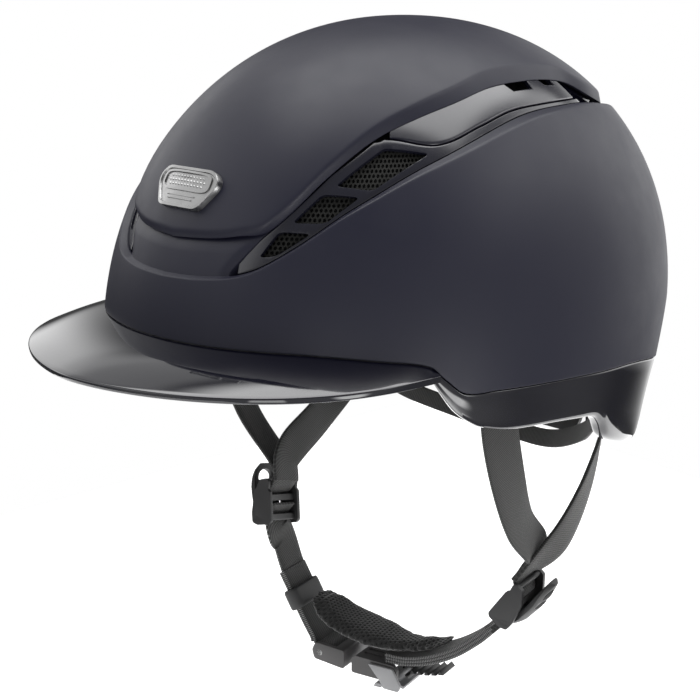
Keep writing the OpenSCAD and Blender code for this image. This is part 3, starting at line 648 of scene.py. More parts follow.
def on_badge(p):
    """Badge coordinates, x across, y up its face and z out of it, to the helmet's."""
    p = np.atleast_2d(p)
    bow = p[:, 0] ** 2 * 0.0042
    c, s = math.cos(BADGE_LEAN), math.sin(BADGE_LEAN)
    y, z = p[:, 1], p[:, 2] - bow
    return np.stack([p[:, 0], y * c - z * s, y * s + z * c], -1) + BADGE_AT


def badge_outline(inset):
    w = 18.0 - inset
    pts = [(-11.8 + inset * 0.6, -8.6 + inset), (11.8 - inset * 0.6, -8.6 + inset), (w, 1.5), (w, 5.0),
           (w - 3.6, 8.6 - inset), (-w + 3.6, 8.6 - inset), (-w, 5.0), (-w, 1.5)]
    return soften([(x, y, 0) for x, y in pts], 2.6, 4)[:, :2]


def metal(name, base, rough, brushed=False):
    n = Nodes(name)
    base = np.array(base)
    n.colour(n.ramp(n.noise(140.0, 4.0), [(0.3, base * 0.86), (0.7, base)]))
    coord = n.object_coord((900, 60, 900)) if brushed else n.object_coord(400)
    grain = n.noise(1.0, 2.0, vector=coord)
    n.roughness(n.ramp(grain, [(0.2, rough - 0.06), (0.8, rough + 0.08)]))
    n.normal(n.bump(grain, 0.08, 0.0001))
    n.set(Metallic=1.0)
    return n.mat


BADGE_MAT = metal("badge_satin", (0.40, 0.40, 0.40), 0.30, True)
STEEL_MAT = metal("steel", (0.55, 0.55, 0.55), 0.3)


def badge():
    """Shield with a raised border, a raised inner frame and a field of small diamonds."""
    verts, faces = [], []

    def add(v, f):
        base = len(verts)
        verts.extend(on_badge(v).tolist())
        faces.extend([tuple(int(i) + base for i in q) for q in f])

    o = badge_outline(0)
    n = len(o)
    plate_z = 1.45
    inner = badge_outline(1.5)
    levels = [(o, -1.2), (o, 1.7), (o * 0.987, 2.1), (inner * 1.03, 2.1), (inner, plate_z)]
    for k in (0.8, 0.6, 0.4, 0.2):
        levels.append((inner * k, plate_z))
    rows = np.stack([np.column_stack([p, np.full(n, z)]) for p, z in levels])
    f = loft_faces(len(levels), n, False)
    f.append(list(range(n))[::-1])
    f.append(list(range((len(levels) - 1) * n, len(levels) * n)))
    add(rows.reshape(-1, 3), f)
    # inner frame with round ends, then a bar under it
    a = np.linspace(0, 2 * math.pi, 48, endpoint=False)
    def stadium(w, h, cx, cy):
        sx = np.sign(np.cos(a)) * np.abs(np.cos(a)) ** 0.35 * w
        sy = np.sign(np.sin(a)) * np.abs(np.sin(a)) ** 0.55 * h
        return np.column_stack([sx + cx, sy + cy])
    so, si = stadium(14.6, 4.3, 0, 2.7), stadium(13.6, 3.4, 0, 2.7)
    rows = np.stack([np.column_stack([p, np.full(48, z)]) for p,
                     z in ((so, plate_z - 0.2), (so, 2.0), (si, 2.0), (si, plate_z - 0.2))])
    add(rows.reshape(-1, 3), loft_faces(4, 48, False) + [tuple([j, (j + 1) % 48, 144 + (j + 1) % 48,
            144 + j]) for j in range(48)])
    for row in range(3):
        for c in range(-6, 7):
            x, y = c * 1.95 + (row % 2) * 0.975, 2.7 + (row - 1) * 1.75
            if abs(x) > 12.2 - abs(y - 2.7) * 0.6:
                continue
            v = [(x - 0.75, y, plate_z - 0.1), (x, y - 0.75, plate_z - 0.1), (x + 0.75, y, plate_z - 0.1),
                 (x, y + 0.75, plate_z - 0.1), (x, y, plate_z + 0.5)]
            add(np.array(v), [(0, 1, 4), (1, 2, 4), (2, 3, 4), (3, 0, 4), (3, 2, 1, 0)])
    for y in (-3.6, -5.1):
        w = 8.6 if y > -4 else 7.6
        v = [(-w, y - 0.32, plate_z - 0.1), (w, y - 0.32, plate_z - 0.1), (w, y + 0.32, plate_z - 0.1),
             (-w, y + 0.32, plate_z - 0.1),
             (-w + 0.3, y - 0.12, plate_z + 0.4), (w - 0.3, y - 0.12, plate_z + 0.4), (w - 0.3, y + 0.12,
                     plate_z + 0.4), (-w + 0.3, y + 0.12, plate_z + 0.4)]
        add(np.array(v), [(0, 1, 5, 4), (1, 2, 6, 5), (2, 3, 7, 6), (3, 0, 4, 7), (4, 5, 6, 7), (3, 2, 1, 0)])
    return new_mesh("badge", verts, faces, sharp=28, weld=0)


place("badge", badge(), BADGE_MAT, node="front_badge")

# ---------------------------------------------------------------- chin loop frame
TURN, LOOP_Y = math.radians(14.5), -9.0
LEFT_MID, LEFT_LEAN = (71.3, -117.9), math.radians(54.5)
RIGHT_MID, RIGHT_LEAN, RIGHT_TWIST = (-59.6, -97.4), math.radians(102.3), math.radians(14.7)
ACROSS = np.array([-math.sin(TURN), math.cos(TURN), 0])


def in_loop(p):
    """Points (s along the loop's plane, y across it, z up) to the helmet's frame."""
    p = np.atleast_2d(np.asarray(p, float))
    c, s = math.cos(TURN), math.sin(TURN)
    return np.stack([p[:, 0] * c - p[:, 1] * s, LOOP_Y + p[:, 0] * s + p[:, 1] * c, p[:, 2]], -1)


def left_at(p):
    """Points on the left divider (x up along the webbing, y across, z outward) to the helmet's frame."""
    p = np.atleast_2d(np.asarray(p, float))
    c, s = math.cos(LEFT_LEAN), math.sin(LEFT_LEAN)
    return in_loop(np.stack([LEFT_MID[0] + p[:, 0] * c + p[:, 2] * s, p[:, 1],
                             LEFT_MID[1] + p[:, 0] * s - p[:, 2] * c], -1))


def right_at(p):
    p = np.atleast_2d(np.asarray(p, float))
    ct, st = math.cos(RIGHT_TWIST), math.sin(RIGHT_TWIST)
    c, s = math.cos(RIGHT_LEAN), math.sin(RIGHT_LEAN)
    a = p[:, 0] * ct - p[:, 1] * st
    return in_loop(np.stack([RIGHT_MID[0] + a * c - p[:, 2] * s, p[:, 0] * st + p[:, 1] * ct,
                             RIGHT_MID[1] + a * s + p[:, 2] * c], -1))


RIGHT_ACROSS = (right_at([0, 1, 0]) - right_at([0, 0, 0]))[0]
WEB_W, WEB_T = 19.0, 1.6


# ---------------------------------------------------------------- webbing
def catmull(p, per):
    """Smooth line through points: per samples for each stretch."""
    p = np.asarray(p, float)
    q = np.concatenate([[2 * p[0] - p[1]], p, [2 * p[-1] - p[-2]]])
    out = []
    for i in range(1, len(q) - 2):
        a, b, c, d = q[i - 1], q[i], q[i + 1], q[i + 2]
        for u in np.linspace(0, 1, per, endpoint=False):
            out.append(0.5 * (2 * b + (c - a) * u + (2 * a - 5 * b + 4 * c - d) * u * u
                              + (3 * b - a - 3 * c + d) * u**3))
    out.append(q[-2])
    return np.array(out)


def resample(p, step):
    length = np.concatenate([[0], np.cumsum(np.linalg.norm(np.diff(p, axis=0), axis=1))])
    n = max(3, int(length[-1] / step) + 1)
    s = np.linspace(0, length[-1], n)
    return np.stack([np.interp(s, length, p[:, k]) for k in range(p.shape[1])], -1), s


def ribbon_data(stations, w=WEB_W, t=WEB_T, step=1.1, edge=0.45):
    """Vertices, faces and the along and across attributes of one strip of webbing."""
    both = np.array([np.concatenate([c, x]) for c, x in stations], float)
    dense, s = resample(catmull(both, 14), step)
    c, x = dense[:, :3], dense[:, 3:]
    tangent = np.gradient(c, axis=0)
    tangent /= np.linalg.norm(tangent, axis=1, keepdims=True)
    x = x - tangent * np.sum(x * tangent, 1, keepdims=True)
    x /= np.linalg.norm(x, axis=1, keepdims=True)
    y = np.cross(tangent, x)
    e = min(edge, t * 0.45)
    section = []
    hw, ht = w / 2, t / 2
    for k in (-1, -0.6, -0.2, 0.2, 0.6, 1):
        section.append((k * (hw - e), -ht))
    section += [(hw - e * 0.3, -ht + e * 0.3), (hw, -ht + e), (hw, ht - e), (hw - e * 0.3, ht - e * 0.3)]
    for k in (1, 0.6, 0.2, -0.2, -0.6, -1):
        section.append((k * (hw - e), ht))
    section += [(-hw + e * 0.3, ht - e * 0.3), (-hw, ht - e), (-hw, -ht + e), (-hw + e * 0.3, -ht + e * 0.3)]
    sec = np.array(section)
    n, k = len(c), len(sec)
    v = c[:, None] + x[:, None] * sec[None, :, 0, None] + y[:, None] * sec[None, :, 1, None]
    faces = loft_faces(n, k, False) + [list(range(k))[::-1], list(range((n - 1) * k, n * k))]
    along = np.repeat(s, k)
    across = np.tile(sec[:, 0], n)
    return v.reshape(-1, 3), faces, along, across


def web_mesh(name, ribbons):
    verts, faces, along, across = [], [], [], []
    for v, f, a, x in ribbons:
        base = len(verts)
        verts.extend(v.tolist())
        faces.extend([[i + base for i in q] for q in f])
        along.extend(a)
        across.extend(x)
    me = bpy.data.meshes.new(name)
    me.from_pydata([tuple(p) for p in np.array(verts) * MM], [], faces)
    for key, values in (("along", along), ("across", across)):
        layer = me.attributes.new(key, "FLOAT", "POINT")
        layer.data.foreach_set("value", np.array(values, np.float32))
    bm = bmesh.new()
    bm.from_mesh(me)
    bmesh.ops.recalc_face_normals(bm, faces=bm.faces)
    bm.to_mesh(me)
    bm.free()
    smooth(me, 50)
    return me


def webbing_material(name, base, light, rib=1.05, slant=0.42, dots=0.0, half=WEB_W / 2):
    """Woven webbing: slanted ribs, fine warp lines and a selvedge, which dots turns into dotted threads. Its
    colour is painted darker in the grooves and lighter on the ridges of the weave: painted shade and
    highlight.
    """
    n = Nodes(name)
    along, across = n.add("Attribute"), n.add("Attribute")
    along.attribute_name, across.attribute_name = "along", "across"
    a, x = along.outputs["Fac"], across.outputs["Fac"]
    wob = n.math("MULTIPLY", n.noise(160.0, 2.0), 0.35)
    phase = n.math("ADD", n.math("ADD", a, n.math("MULTIPLY", x, slant)), wob)
    ribs = n.math("SINE", n.math("MULTIPLY", phase, 2 * math.pi / rib))
    warp = n.math("SINE", n.math("MULTIPLY", x, 2 * math.pi / 0.62))
    height = n.math("ADD", n.math("MULTIPLY", ribs, 0.35), n.math("MULTIPLY", warp, 0.16))
    height = n.math("ADD", height, n.math("MULTIPLY", n.noise(2600.0, 2.0), 0.25))
    # Painted shade and highlight: the colour is darker where the weave's bump is low and lighter where it is
    # high.
    height_shade = n.math("ADD", n.math("MULTIPLY", height, 0.5), 0.5)
    base, light = np.array(base), np.array(light)
    body = n.ramp(height_shade, [(0.15, base * 0.45), (0.5, base), (0.9, light)])
    edge = n.math("GREATER_THAN", n.math("ABSOLUTE", x), half - 0.5)
    mix = n.add("Mix", data_type="RGBA")
    if dots:
        beat = n.math("SINE", n.math("MULTIPLY", a, 2 * math.pi / 0.95))
        thread = n.ramp(beat, [(0.1, base * 0.5), (0.6, (dots, dots, dots))])
    else:
        # Without dots the selvedge is painted darker in the rib grooves and lighter on the ribs: painted
        # shade and highlight. The dotted threads above are the stitching's own colour.
        thread = n.ramp(ribs, [(0.2, base * 0.4), (0.8, base * 1.3)])
    n.link(edge, mix.inputs["Factor"])
    n.link(body, mix.inputs["A"])
    n.link(thread, mix.inputs["B"])
    n.colour(mix.outputs["Result"])
    n.normal(n.bump(height, 0.55, 0.0003))
    n.set(Roughness=0.68, Sheen_Weight=0.35, Sheen_Roughness=0.4)
    return n.mat


# The second colour of each webbing is the painted highlight on its raised threads.
WEB_MAT = webbing_material("webbing", (0.030, 0.030, 0.029), (0.085, 0.085, 0.083))
WEB_EDGE_MAT = webbing_material("webbing_stitched", (0.030, 0.030, 0.029), (0.078, 0.078, 0.076), dots=0.22)
NAPE_MAT = webbing_material("nape_webbing", (0.030, 0.030, 0.029), (0.085, 0.085, 0.083), 0.9, 0.0, half=4.5)

FRONT_ANCHOR, REAR_ANCHOR = np.array([88.5, -31, -17]), np.array([79, 54, -31.0])


def at(fn, *p):
    return fn(p)[0]


def strap(name, node, stations, mat=None, w=WEB_W, t=WEB_T):
    place(name, web_mesh(name, [ribbon_data(stations, w, t)]), mat or WEB_MAT, node=node)


strap("strap_front", "strap_front_left",
      [(FRONT_ANCHOR + [0.2, 0, 8], (0.14, 1, 0)), (FRONT_ANCHOR - [0.6, -1, 9], (0.14, 1, 0)),
       ((84.6, -20, -52), (0.05, 1, 0)), ((80.5, -6, -78), (-0.15, 1, 0)),
       (at(left_at, 23, 0, -6.8), ACROSS), (at(left_at, 15, 0, -4.8), ACROSS), (at(left_at, 8, 0, -4.5),
               ACROSS)])
strap("strap_rear", "strap_rear_left",
      [(REAR_ANCHOR + [0, 0, 8], (-0.7, 0.7, 0)), ((79.2, 53, -45), (-0.6, 0.8, 0)),
       ((80.2, 41, -72), (-0.35, 0.9, -0.2)),
       ((80.6, 24, -92), (-0.18, 0.69, -0.7)), (at(left_at, 15, 0.4, -2.4),
                                                (-0.22, 0.85, -0.3)), (at(left_at, 7.4, 0, -2.4), ACROSS),
       (at(left_at, 2.2, 0, 2.3), ACROSS), (at(left_at, -1.6, 0, 2.4), ACROSS)])
strap("strap_front_far", "strap_front_right",
      [((-88.7, -31, -9), (-0.14, 1, 0)), ((-87.9, -30, -26), (-0.14, 1, 0)),
       ((-79, -26, -56), (-0.35, 0.93, 0)),
       (at(right_at, 16, 0, -2.5), RIGHT_ACROSS), (at(right_at, 7.4, 0, -2.4), RIGHT_ACROSS),
       (at(right_at, 2.2, 0, 2.3), RIGHT_ACROSS), (at(right_at, -1.6, 0, 2.4), RIGHT_ACROSS)])
strap("strap_rear_far", "strap_rear_right",
      [((-79, 54, -23), (0.7, 0.7, 0)), ((-78, 48, -42), (0.5, 0.8, 0)),
       ((-71, 18, -64), (-0.12, 0.95, -0.3)),
       (at(right_at, 22, 2, -5), RIGHT_ACROSS), (at(right_at, 8, 0, -4.4), RIGHT_ACROSS)])
strap("strap_nape", "nape_strap",
      [((-70, 54, -46), (0.1, 0.25, 1)), ((-58, 64, -58), (0.1, 0.3, 1)), ((-30, 75, -66), (0, 0.3, 1)),
       ((0, 79, -70), (0, 0.3, 1)), ((30, 77, -69), (0, 0.3, 1)), ((56, 68, -58), (-0.1, 0.3, 1)),
       ((75, 53, -44), (-0.1, 0.25, 1))], NAPE_MAT, 9, 1.4)


def plane_strip(points, layer=0.0, side=1.0, w=WEB_W, t=WEB_T):
    """Webbing whose inner face follows (s, z) points in the loop's plane, lifted outward by layer."""
    p = catmull(np.array(points, float), 10)
    p, _ = resample(p, 1.0)
    d = np.gradient(p, axis=0)
    d /= np.linalg.norm(d, axis=1, keepdims=True)
    out = np.stack([-d[:, 1], d[:, 0]], -1) * side
    q = p + out * (layer + t / 2)
    return ribbon_data([(c, ACROSS) for c in in_loop(np.column_stack([q[:, 0], np.zeros(len(q)),
            q[:, 1]]))], w, t)


def left_side(x, z):
    c, s = math.cos(LEFT_LEAN), math.sin(LEFT_LEAN)
    return [LEFT_MID[0] + x * c + z * s, LEFT_MID[1] + x * s - z * c]


LEFT_LINE = [[61.5, -132.2], [53.8, -140.2], [42.8, -149.2], [30.6, -156], [17.5, -160.2], [6.5, -161]]
upper = [left_side(-3.4, -2.6), left_side(-4.6, -1.6), left_side(-6.4, 0.7), left_side(-8.6, 1.6),
         left_side(-11.6, 1.5), left_side(-15, 0.9), [59, -134.5]]
layers = [plane_strip(upper, 0, 1)]
for i, cut_short in enumerate((0, 1, 2)):
    line = np.array(LEFT_LINE, float)
    d = line[0] - line[1]
    line[0] = line[0] - d / np.linalg.norm(d) * cut_short * 1.2
    layers.append(plane_strip(line, i * WEB_T, 1, WEB_W - 0.1 * i, WEB_T - 0.06))
place("chin_strap", web_mesh("chin_strap", layers), WEB_EDGE_MAT, node="chin_strap_left")

KEEP_TOP, KEEP_END = np.array([-51.3, -131.8]), np.array([-40.8, -149.9])
top = [(at(right_at, *q), RIGHT_ACROSS) for q in ((-3.2, 0, -2), (-5, 0, 0), (-7, 0, 1.9), (-9.5, 0, 2.4),
                                                  (-15, 0, 1.8))]
top += [(at(in_loop, s, 0, z), ACROSS) for s, z in ((-57.2, -119), (-53.9, -128.2), (-50.7, -136.2))]
low = [KEEP_TOP, KEEP_END, [-37, -156.2], [-33.4, -161.8], [-32.3, -165.4]]
far_layers = [ribbon_data(top, WEB_W - 0.6, WEB_T - 0.2), plane_strip(low, 0, -1),
              plane_strip(low[:-1] + [[-32.6, -164.6]], WEB_T, -1, WEB_W, WEB_T - 0.06)]
a = np.linspace(math.pi * 1.02, -math.pi * 0.92, 40)
loop_line = [(-29 + np.sign(math.cos(u)) * 2.4 + 2.6 * math.cos(u), -168.5 + 2.6 * math.sin(u)) for u in a]
far_layers.append(ribbon_data([(c, ACROSS) for c in in_loop([(s, 0, z) for s, z in loop_line])],
                              WEB_W - 0.2, 1.4, step=0.7))
place("chin_strap_far", web_mesh("chin_strap_far", far_layers), WEB_EDGE_MAT, node="chin_strap_right")
# ---------------------------------------------------------------- moulded hardware
def side_solid(fn, outline, y0, y1, r=0.0):
    """Side view (x, z) drawn in a local frame and extruded across it from y0 to y1."""
    o = np.array(outline, float)
    if r:
        o = soften([(p[0], p[1], 0) for p in o], r, 3)[:, :2]
    near = fn(np.column_stack([o[:, 0], np.full(len(o), y0), o[:, 1]]))
    far = fn(np.column_stack([o[:, 0], np.full(len(o), y1), o[:, 1]]))
    return prism("part", near, far)


def face_solid(fn, outline, z0, z1, r=0.0):
    """Outline (x, y) in a local frame, extruded from z0 to z1."""
    o = np.array(outline, float)
    if r:
        o = soften([(p[0], p[1], 0) for p in o], r, 4)[:, :2]
    near = fn(np.column_stack([o, np.full(len(o), z0)]))
    far = fn(np.column_stack([o, np.full(len(o), z1)]))
    return prism("part", near, far)


def rod(fn, x, z, r, y0, y1, n=28):
    a = np.linspace(0, 2 * math.pi, n, endpoint=False)
    return side_solid(fn, np.column_stack([x + r * np.cos(a), z + r * np.sin(a)]), y0, y1)


def own(p):
    return np.asarray(p, float)


def carry(ob, fn):
    """Takes a piece made in a divider's own frame to its place, its normals kept outward."""
    n = len(ob.data.vertices)
    co = np.empty(n * 3)
    ob.data.vertices.foreach_get("co", co)
    bm = bmesh.new()
    bm.from_mesh(ob.data)
    for v, q in zip(bm.verts, fn(co.reshape(-1, 3) / MM) * MM):
        v.co = q
    bmesh.ops.recalc_face_normals(bm, faces=bm.faces)
    bm.to_mesh(ob.data)
    bm.free()


def build(name, mat, body, node, parts, cuts=(), bev=0.35, seg=2, angle=35, fn=None):
    ob = temp(name, parts[0])
    if len(parts) > 1:
        cut(ob, [temp("part", p) for p in parts[1:]], "UNION")
    if cuts:
        cut(ob, [temp("part", p) for p in cuts])
    if bev:
        bevel(ob, bev, seg, angle)
    if fn:
        carry(ob, fn)
    ob.data.materials.clear()
    ob.data.materials.append(mat)
    finish_piece(ob, body, node)
    return ob


PLASTIC = plastic("buckle_plastic", (0.026, 0.026, 0.027), 0.42, 0.12, 1800, 0.10)
PLASTIC_GREY = plastic("buckle_grey", (0.085, 0.082, 0.083), 0.4, 0.1, 1800, 0.08)
LEVER_MAT = plastic("lever_light", (0.36, 0.36, 0.37), 0.3, 0.06, 1500, 0.05)
RUBBER = plastic("keeper_rubber", (0.045, 0.045, 0.046), 0.55, 0.1, 1600, 0.12)
PIN_X, PIN_Z = -9.4, 5.7
# side view of a divider's cheek
CHEEK = [(-13, -1.5), (-11.5, -3), (3, -3), (4.2, -1.8), (8.4, -2.5), (9.6, -1.5), (9.2, 2.4), (3.4, 6.4),
         (-7, 8.4),
         (-11.6, 8.2), (-13, 5.4)]


def divider(name, node, fn):
    parts = [side_solid(own, CHEEK, -12.4, -10.2, 0.8), side_solid(own, CHEEK, 10.2, 12.4, 0.8)]
    for x in (7.3, 0, -9.6):
        parts.append(side_solid(own, [(x - 1.7, -1.2), (x + 1.7, -1.2), (x + 1.7, 1.2), (x - 1.7, 1.2)],
                                -10.6, 10.6, 0.7))
    build(name, PLASTIC, "helmet", node, parts, [rod(own, PIN_X, PIN_Z, 1.2, -20, 20)],
          0.45, 3, fn=fn)


divider("divider", "divider_left", left_at)
divider("divider_far", "divider_right", right_at)


def divider_lever(name, node, body, fn):
    """Crowned lever with a D-shaped thumb loop and a three-sided recess, on a hub round the pin."""
    x = np.concatenate([np.linspace(-11.4, -9, 6), np.linspace(-8, 17.2, 30)])
    half = np.interp(x, [-11.4, -10.4, -8, 2, 8, 11, 14, 16, 17.2],
                     [6.4, 8.0, 9.6, 9.9, 9.9, 9.4, 7.8, 5.4, 3.0])
    top = np.interp(x, [-11.4, -6, 2, 6, 11, 17.2], [8.9, 11.0, 12.0, 12.2, 11.6, 10.8])
    low = np.interp(x, [-11.4, -6, 6, 9, 11, 17.2], [6.9, 7.0, 8.0, 8.0, 8.0, 8.0])
    loops = []
    for xi, h, zt, zl in zip(x, half, top, low):
        ys = np.linspace(-1, 1, 13)
        up_row = [(xi, y * h, zt - 2.2 * abs(y) ** 2.4) for y in ys]
        dn_row = [(xi, y * h * 0.96, zl) for y in ys[::-1]]
        loops.append(up_row + dn_row)
    plate = loft("plate", np.array(loops), sharp=30)
    hub = rod(own, PIN_X, PIN_Z, 2.1, -9.8, 9.8)
    a = np.linspace(-math.pi / 2, math.pi / 2, 14)
    hole = [(10.2 + 4.2 * math.cos(u), 6.2 * math.sin(u)) for u in a] + [(9.0, 6.2), (9.0, -6.2)]
    recess = [(-6.0, -4.2), (-6.0, 5.6), (5.6, 2.6)]
    dish = [(3.4, -7.4), (8.2, -7.8), (8.2, 7.8), (3.4, 7.4)]
    cuts = [face_solid(own, hole, 3, 18, 0.8), face_solid(own, recess, 9.9, 16, 0.7),
            face_solid(own, dish, 11.0, 16, 1.2),
            rod(own, PIN_X, PIN_Z, 1.2, -20, 20)]
    build(name, PLASTIC, body, node, [plate, hub], cuts, 0.4, 3, 32, fn)


divider_lever("divider_lever", "divider_lever_left", "left_lever", left_at)
divider_lever("divider_lever_far", "divider_lever_right", "right_lever", right_at)

# keeper: rubber loop round the far webbing
KEEP_DIR = (KEEP_END - KEEP_TOP) / np.linalg.norm(KEEP_END - KEEP_TOP)


def on_keeper(p):
    """x along the webbing, y across it, z outward from its middle, to the helmet's frame."""
    p = np.atleast_2d(np.asarray(p, float))
    out = np.array([KEEP_DIR[1], -KEEP_DIR[0]])
    mid = KEEP_TOP + KEEP_DIR * 14.5 + out * WEB_T
    sz = mid + p[:, :1] * KEEP_DIR + p[:, 2:] * out
    return in_loop(np.column_stack([sz[:, 0], p[:, 1], sz[:, 1]]))


def ring_solid(fn, half_w, half_h, length, wall, corner, body, node, name, mat, edge=0.9):
    """Band with round corners bent round the webbing, its edges rolled over."""
    a = []
    for cx, cy, a0 in ((1, 1, 0), (-1, 1, 90), (-1, -1, 180), (1, -1, 270)):
        for u in np.linspace(a0, a0 + 90, 9):
            a.append((cx, cy, math.radians(u)))
    outer = np.array([(cx * (half_w - corner) + corner * math.cos(u),
                       cy * (half_h - corner) + corner * math.sin(u)) for cx, cy, u in a])
    ir = max(corner - wall, 0.3)
    inner = np.array([(cx * (half_w - wall - ir) + ir * math.cos(u),
                       cy * (half_h - wall - ir) + ir * math.sin(u)) for cx, cy, u in a])
    h = length / 2
    rows = []
    for k, x in ((0, -h), (0, h), (1, h), (1, -h)):
        p = inner if k else outer
        rows.append((np.column_stack([np.full(len(p), x), p[:, 0], p[:, 1]]), edge if not k else 0.4))
    prof = rounded([(fn(r), e) for r, e in rows], 4)
    me = loft(name, prof, ring=True, sharp=40)
    place(name, me, mat, body, node)


ring_solid(on_keeper, 12, 4.2, 10, 1.7, 3.9, "keeper", "strap_keeper", "keeper", RUBBER, 2.6)

# ---------------------------------------------------------------- ratchet buckle
TONGUE_Z, LEVER_S = -170.5, 10.4
LEVER_Z = TONGUE_Z - 5
strip = [(-18, TONGUE_Z - 1), (17, TONGUE_Z - 1), (24, TONGUE_Z - 0.2), (31, TONGUE_Z + 1.4),
         (38.6, TONGUE_Z + 4)]
strip_top = [(39.4, TONGUE_Z + 5.2), (38.4, TONGUE_Z + 6.2), (31, TONGUE_Z + 3.5), (24, TONGUE_Z + 1.9),
             (17, TONGUE_Z + 1), (-18, TONGUE_Z + 1)]
def bar(outline, half, r=0.0):
    """Side view in the chin loop's plane, extruded the same distance to both sides."""
    return side_solid(in_loop, outline, -half, half, r)


parts = [bar(strip + strip_top, 6.5)]
root = [(-33.4, TONGUE_Z + 3), (-32, TONGUE_Z - 1.6), (-15.0, TONGUE_Z - 3.2), (-15.0, TONGUE_Z + 6.2),
        (-31, TONGUE_Z + 7)]
for i in range(4):
    s0 = 9.6 + i * 2.3
    parts.append(bar([(s0 - 1, TONGUE_Z - 0.6), (s0 + 1.3, TONGUE_Z - 0.6), (s0 + 1.3, TONGUE_Z - 2.5)], 6.5))
for i, (s0, z0) in enumerate(((18.5, 0.9), (22.3, 1.4), (26.1, 2.1), (29.9, 3.0), (33.7, 4.2))):
    z = TONGUE_Z + z0
    parts.append(bar([(s0, z - 0.5), (s0 + 2.9, z + 0.1), (s0 + 0.7, z + 2.1)], 6.3))
build("tongue_strip", PLASTIC, "tongue", (), parts, [], 0.3, 2, 30)
cuts = [bar([(-36, TONGUE_Z - 5), (-20.4, TONGUE_Z - 5), (-20.4, TONGUE_Z + 9), (-36, TONGUE_Z + 9)], 9.9),
        rod(in_loop, -29, TONGUE_Z + 2, 1.5, -9.95, 9.95)]
build("tongue_root", PLASTIC_GREY, "tongue", "buckle_tongue", [bar(root, 12, 1.2)], cuts,
      0.4, 2, 30)

body_side = [(-11.5, TONGUE_Z - 4.0), (-10.6, TONGUE_Z - 4.4), (7.1, TONGUE_Z - 4.4),
             (7.1, TONGUE_Z + 4.6), (-9.6, TONGUE_Z + 4.6),
             (-11.5, TONGUE_Z + 2.6)]
cheek_side = [(6.5, TONGUE_Z - 7), (12.6, TONGUE_Z - 7), (13.6, TONGUE_Z - 5.6), (13.6, TONGUE_Z + 2.2),
              (11.6, TONGUE_Z + 4.6),
              (6.5, TONGUE_Z + 4.6)]
parts = [bar(body_side, 10.5, 0.8), side_solid(in_loop, cheek_side, -10.5, -8.3, 0.8),
         side_solid(in_loop, cheek_side, 8.3, 10.5, 0.8)]
cuts = [bar([(-13, TONGUE_Z - 2.9), (9, TONGUE_Z - 2.9), (9, TONGUE_Z + 1.4), (-13, TONGUE_Z + 1.4)], 6.9),
        bar([(-2, TONGUE_Z - 6), (10, TONGUE_Z - 6), (10, TONGUE_Z - 1), (-2, TONGUE_Z - 1)], 8.1),
        rod(in_loop, LEVER_S, LEVER_Z, 1.2, -15, 15)]
for k in (-4.6, 0, 4.6):
    cuts.append(side_solid(in_loop, [(-7.6, TONGUE_Z + 4.0), (3.4, TONGUE_Z + 4.0), (3.4, TONGUE_Z + 6),
                                     (-7.6, TONGUE_Z + 6)], k - 1.0, k + 1.0))
build("housing", PLASTIC_GREY, "helmet", "buckle_housing", parts, cuts, 0.45, 3, 35)

flange = [(-1.2, -167.2), (12, -167.1), (16.7, -175.0), (15.4, -177.9), (7.4, -177.9), (5.0, -174.2)]
plate = [(2.0, -177.9), (6.2, -177.9), (6.2, -175.9), (3.0, -175.9)]
web = [(2.4, -177.9), (16.2, -177.9), (16.4, -176.4), (3.4, -175.9)]
parts = [bar(plate, 12.3, 0.5), bar(web, 7.8, 0.5), side_solid(in_loop, flange, -12.3, -10.9, 0.5),
         side_solid(in_loop, flange, 10.9, 12.3, 0.5), rod(in_loop, LEVER_S, LEVER_Z, 2.1, -6.5, 6.5)]
build("finger_lever", LEVER_MAT, "release_lever", "buckle_lever", parts,
      [rod(in_loop, LEVER_S, LEVER_Z, 1.2, -10.7, 10.7)], 0.3, 2, 35)

# ---------------------------------------------------------------- soft pads
SIM_SCALE = 10.0
PAD_BACK, CROWN_PAD_BACK, CROWN_PAD_FACE = 28.7, 28.8, 34.2  # depths below the shell's skin
HOLE_R = 6.4  # hole in the nape pad for the dial's screw


def subdivided(ob):
    """The object's mesh after one level of subdivision; the object itself goes."""
    m = ob.modifiers.new("sub", "SUBSURF")
    m.levels = m.render_levels = 1
    bpy.context.view_layer.update()
    apply_modifiers(ob, 60)
    out = ob.data
    bpy.data.objects.remove(ob)
    return out


def swell(name, me, voxel=1.6, pressure=4.0, cap=1.6, frames=20):
    """Blows a pad up as cloth, ten times its size so that the solver is stable, and brings it back."""
    ob = temp(name, me)
    for v in me.vertices:
        v.co *= SIM_SCALE
    m = ob.modifiers.new("remesh", "REMESH")
    m.mode, m.voxel_size, m.use_smooth_shade = "VOXEL", voxel * MM * SIM_SCALE, True
    bpy.context.view_layer.update()
    apply_modifiers(ob)
    n = len(ob.data.vertices)
    rest = np.empty(n * 3)
    ob.data.vertices.foreach_get("co", rest)
    rest = rest.reshape(-1, 3)
    cloth = ob.modifiers.new("cloth", "CLOTH")
    s = cloth.settings
    s.quality, s.mass, s.tension_stiffness, s.compression_stiffness = 6, 0.3, 12, 12
    s.shear_stiffness, s.bending_stiffness, s.air_damping = 6, 0.6, 2
    s.use_pressure, s.uniform_pressure_force = True, pressure
    s.effector_weights.gravity = 0
    cloth.point_cache.frame_start, cloth.point_cache.frame_end = 1, frames
    scene = bpy.context.scene
    scene.frame_start, scene.frame_end = 1, frames
    for f in range(1, frames + 1):
        scene.frame_set(f)
    ev = ob.evaluated_get(bpy.context.evaluated_depsgraph_get())
    now = np.empty(n * 3)
    ev.data.vertices.foreach_get("co", now)
    now = now.reshape(-1, 3)
    move = now - rest
    far = np.linalg.norm(move, axis=1, keepdims=True)
    limit = cap * MM * SIM_SCALE
    move *= np.minimum(1, limit / np.maximum(far, 1e-9))
    ob.modifiers.clear()
    ob.data.vertices.foreach_set("co", ((rest + move) / SIM_SCALE).ravel())
    scene.frame_set(1)
    return subdivided(ob)


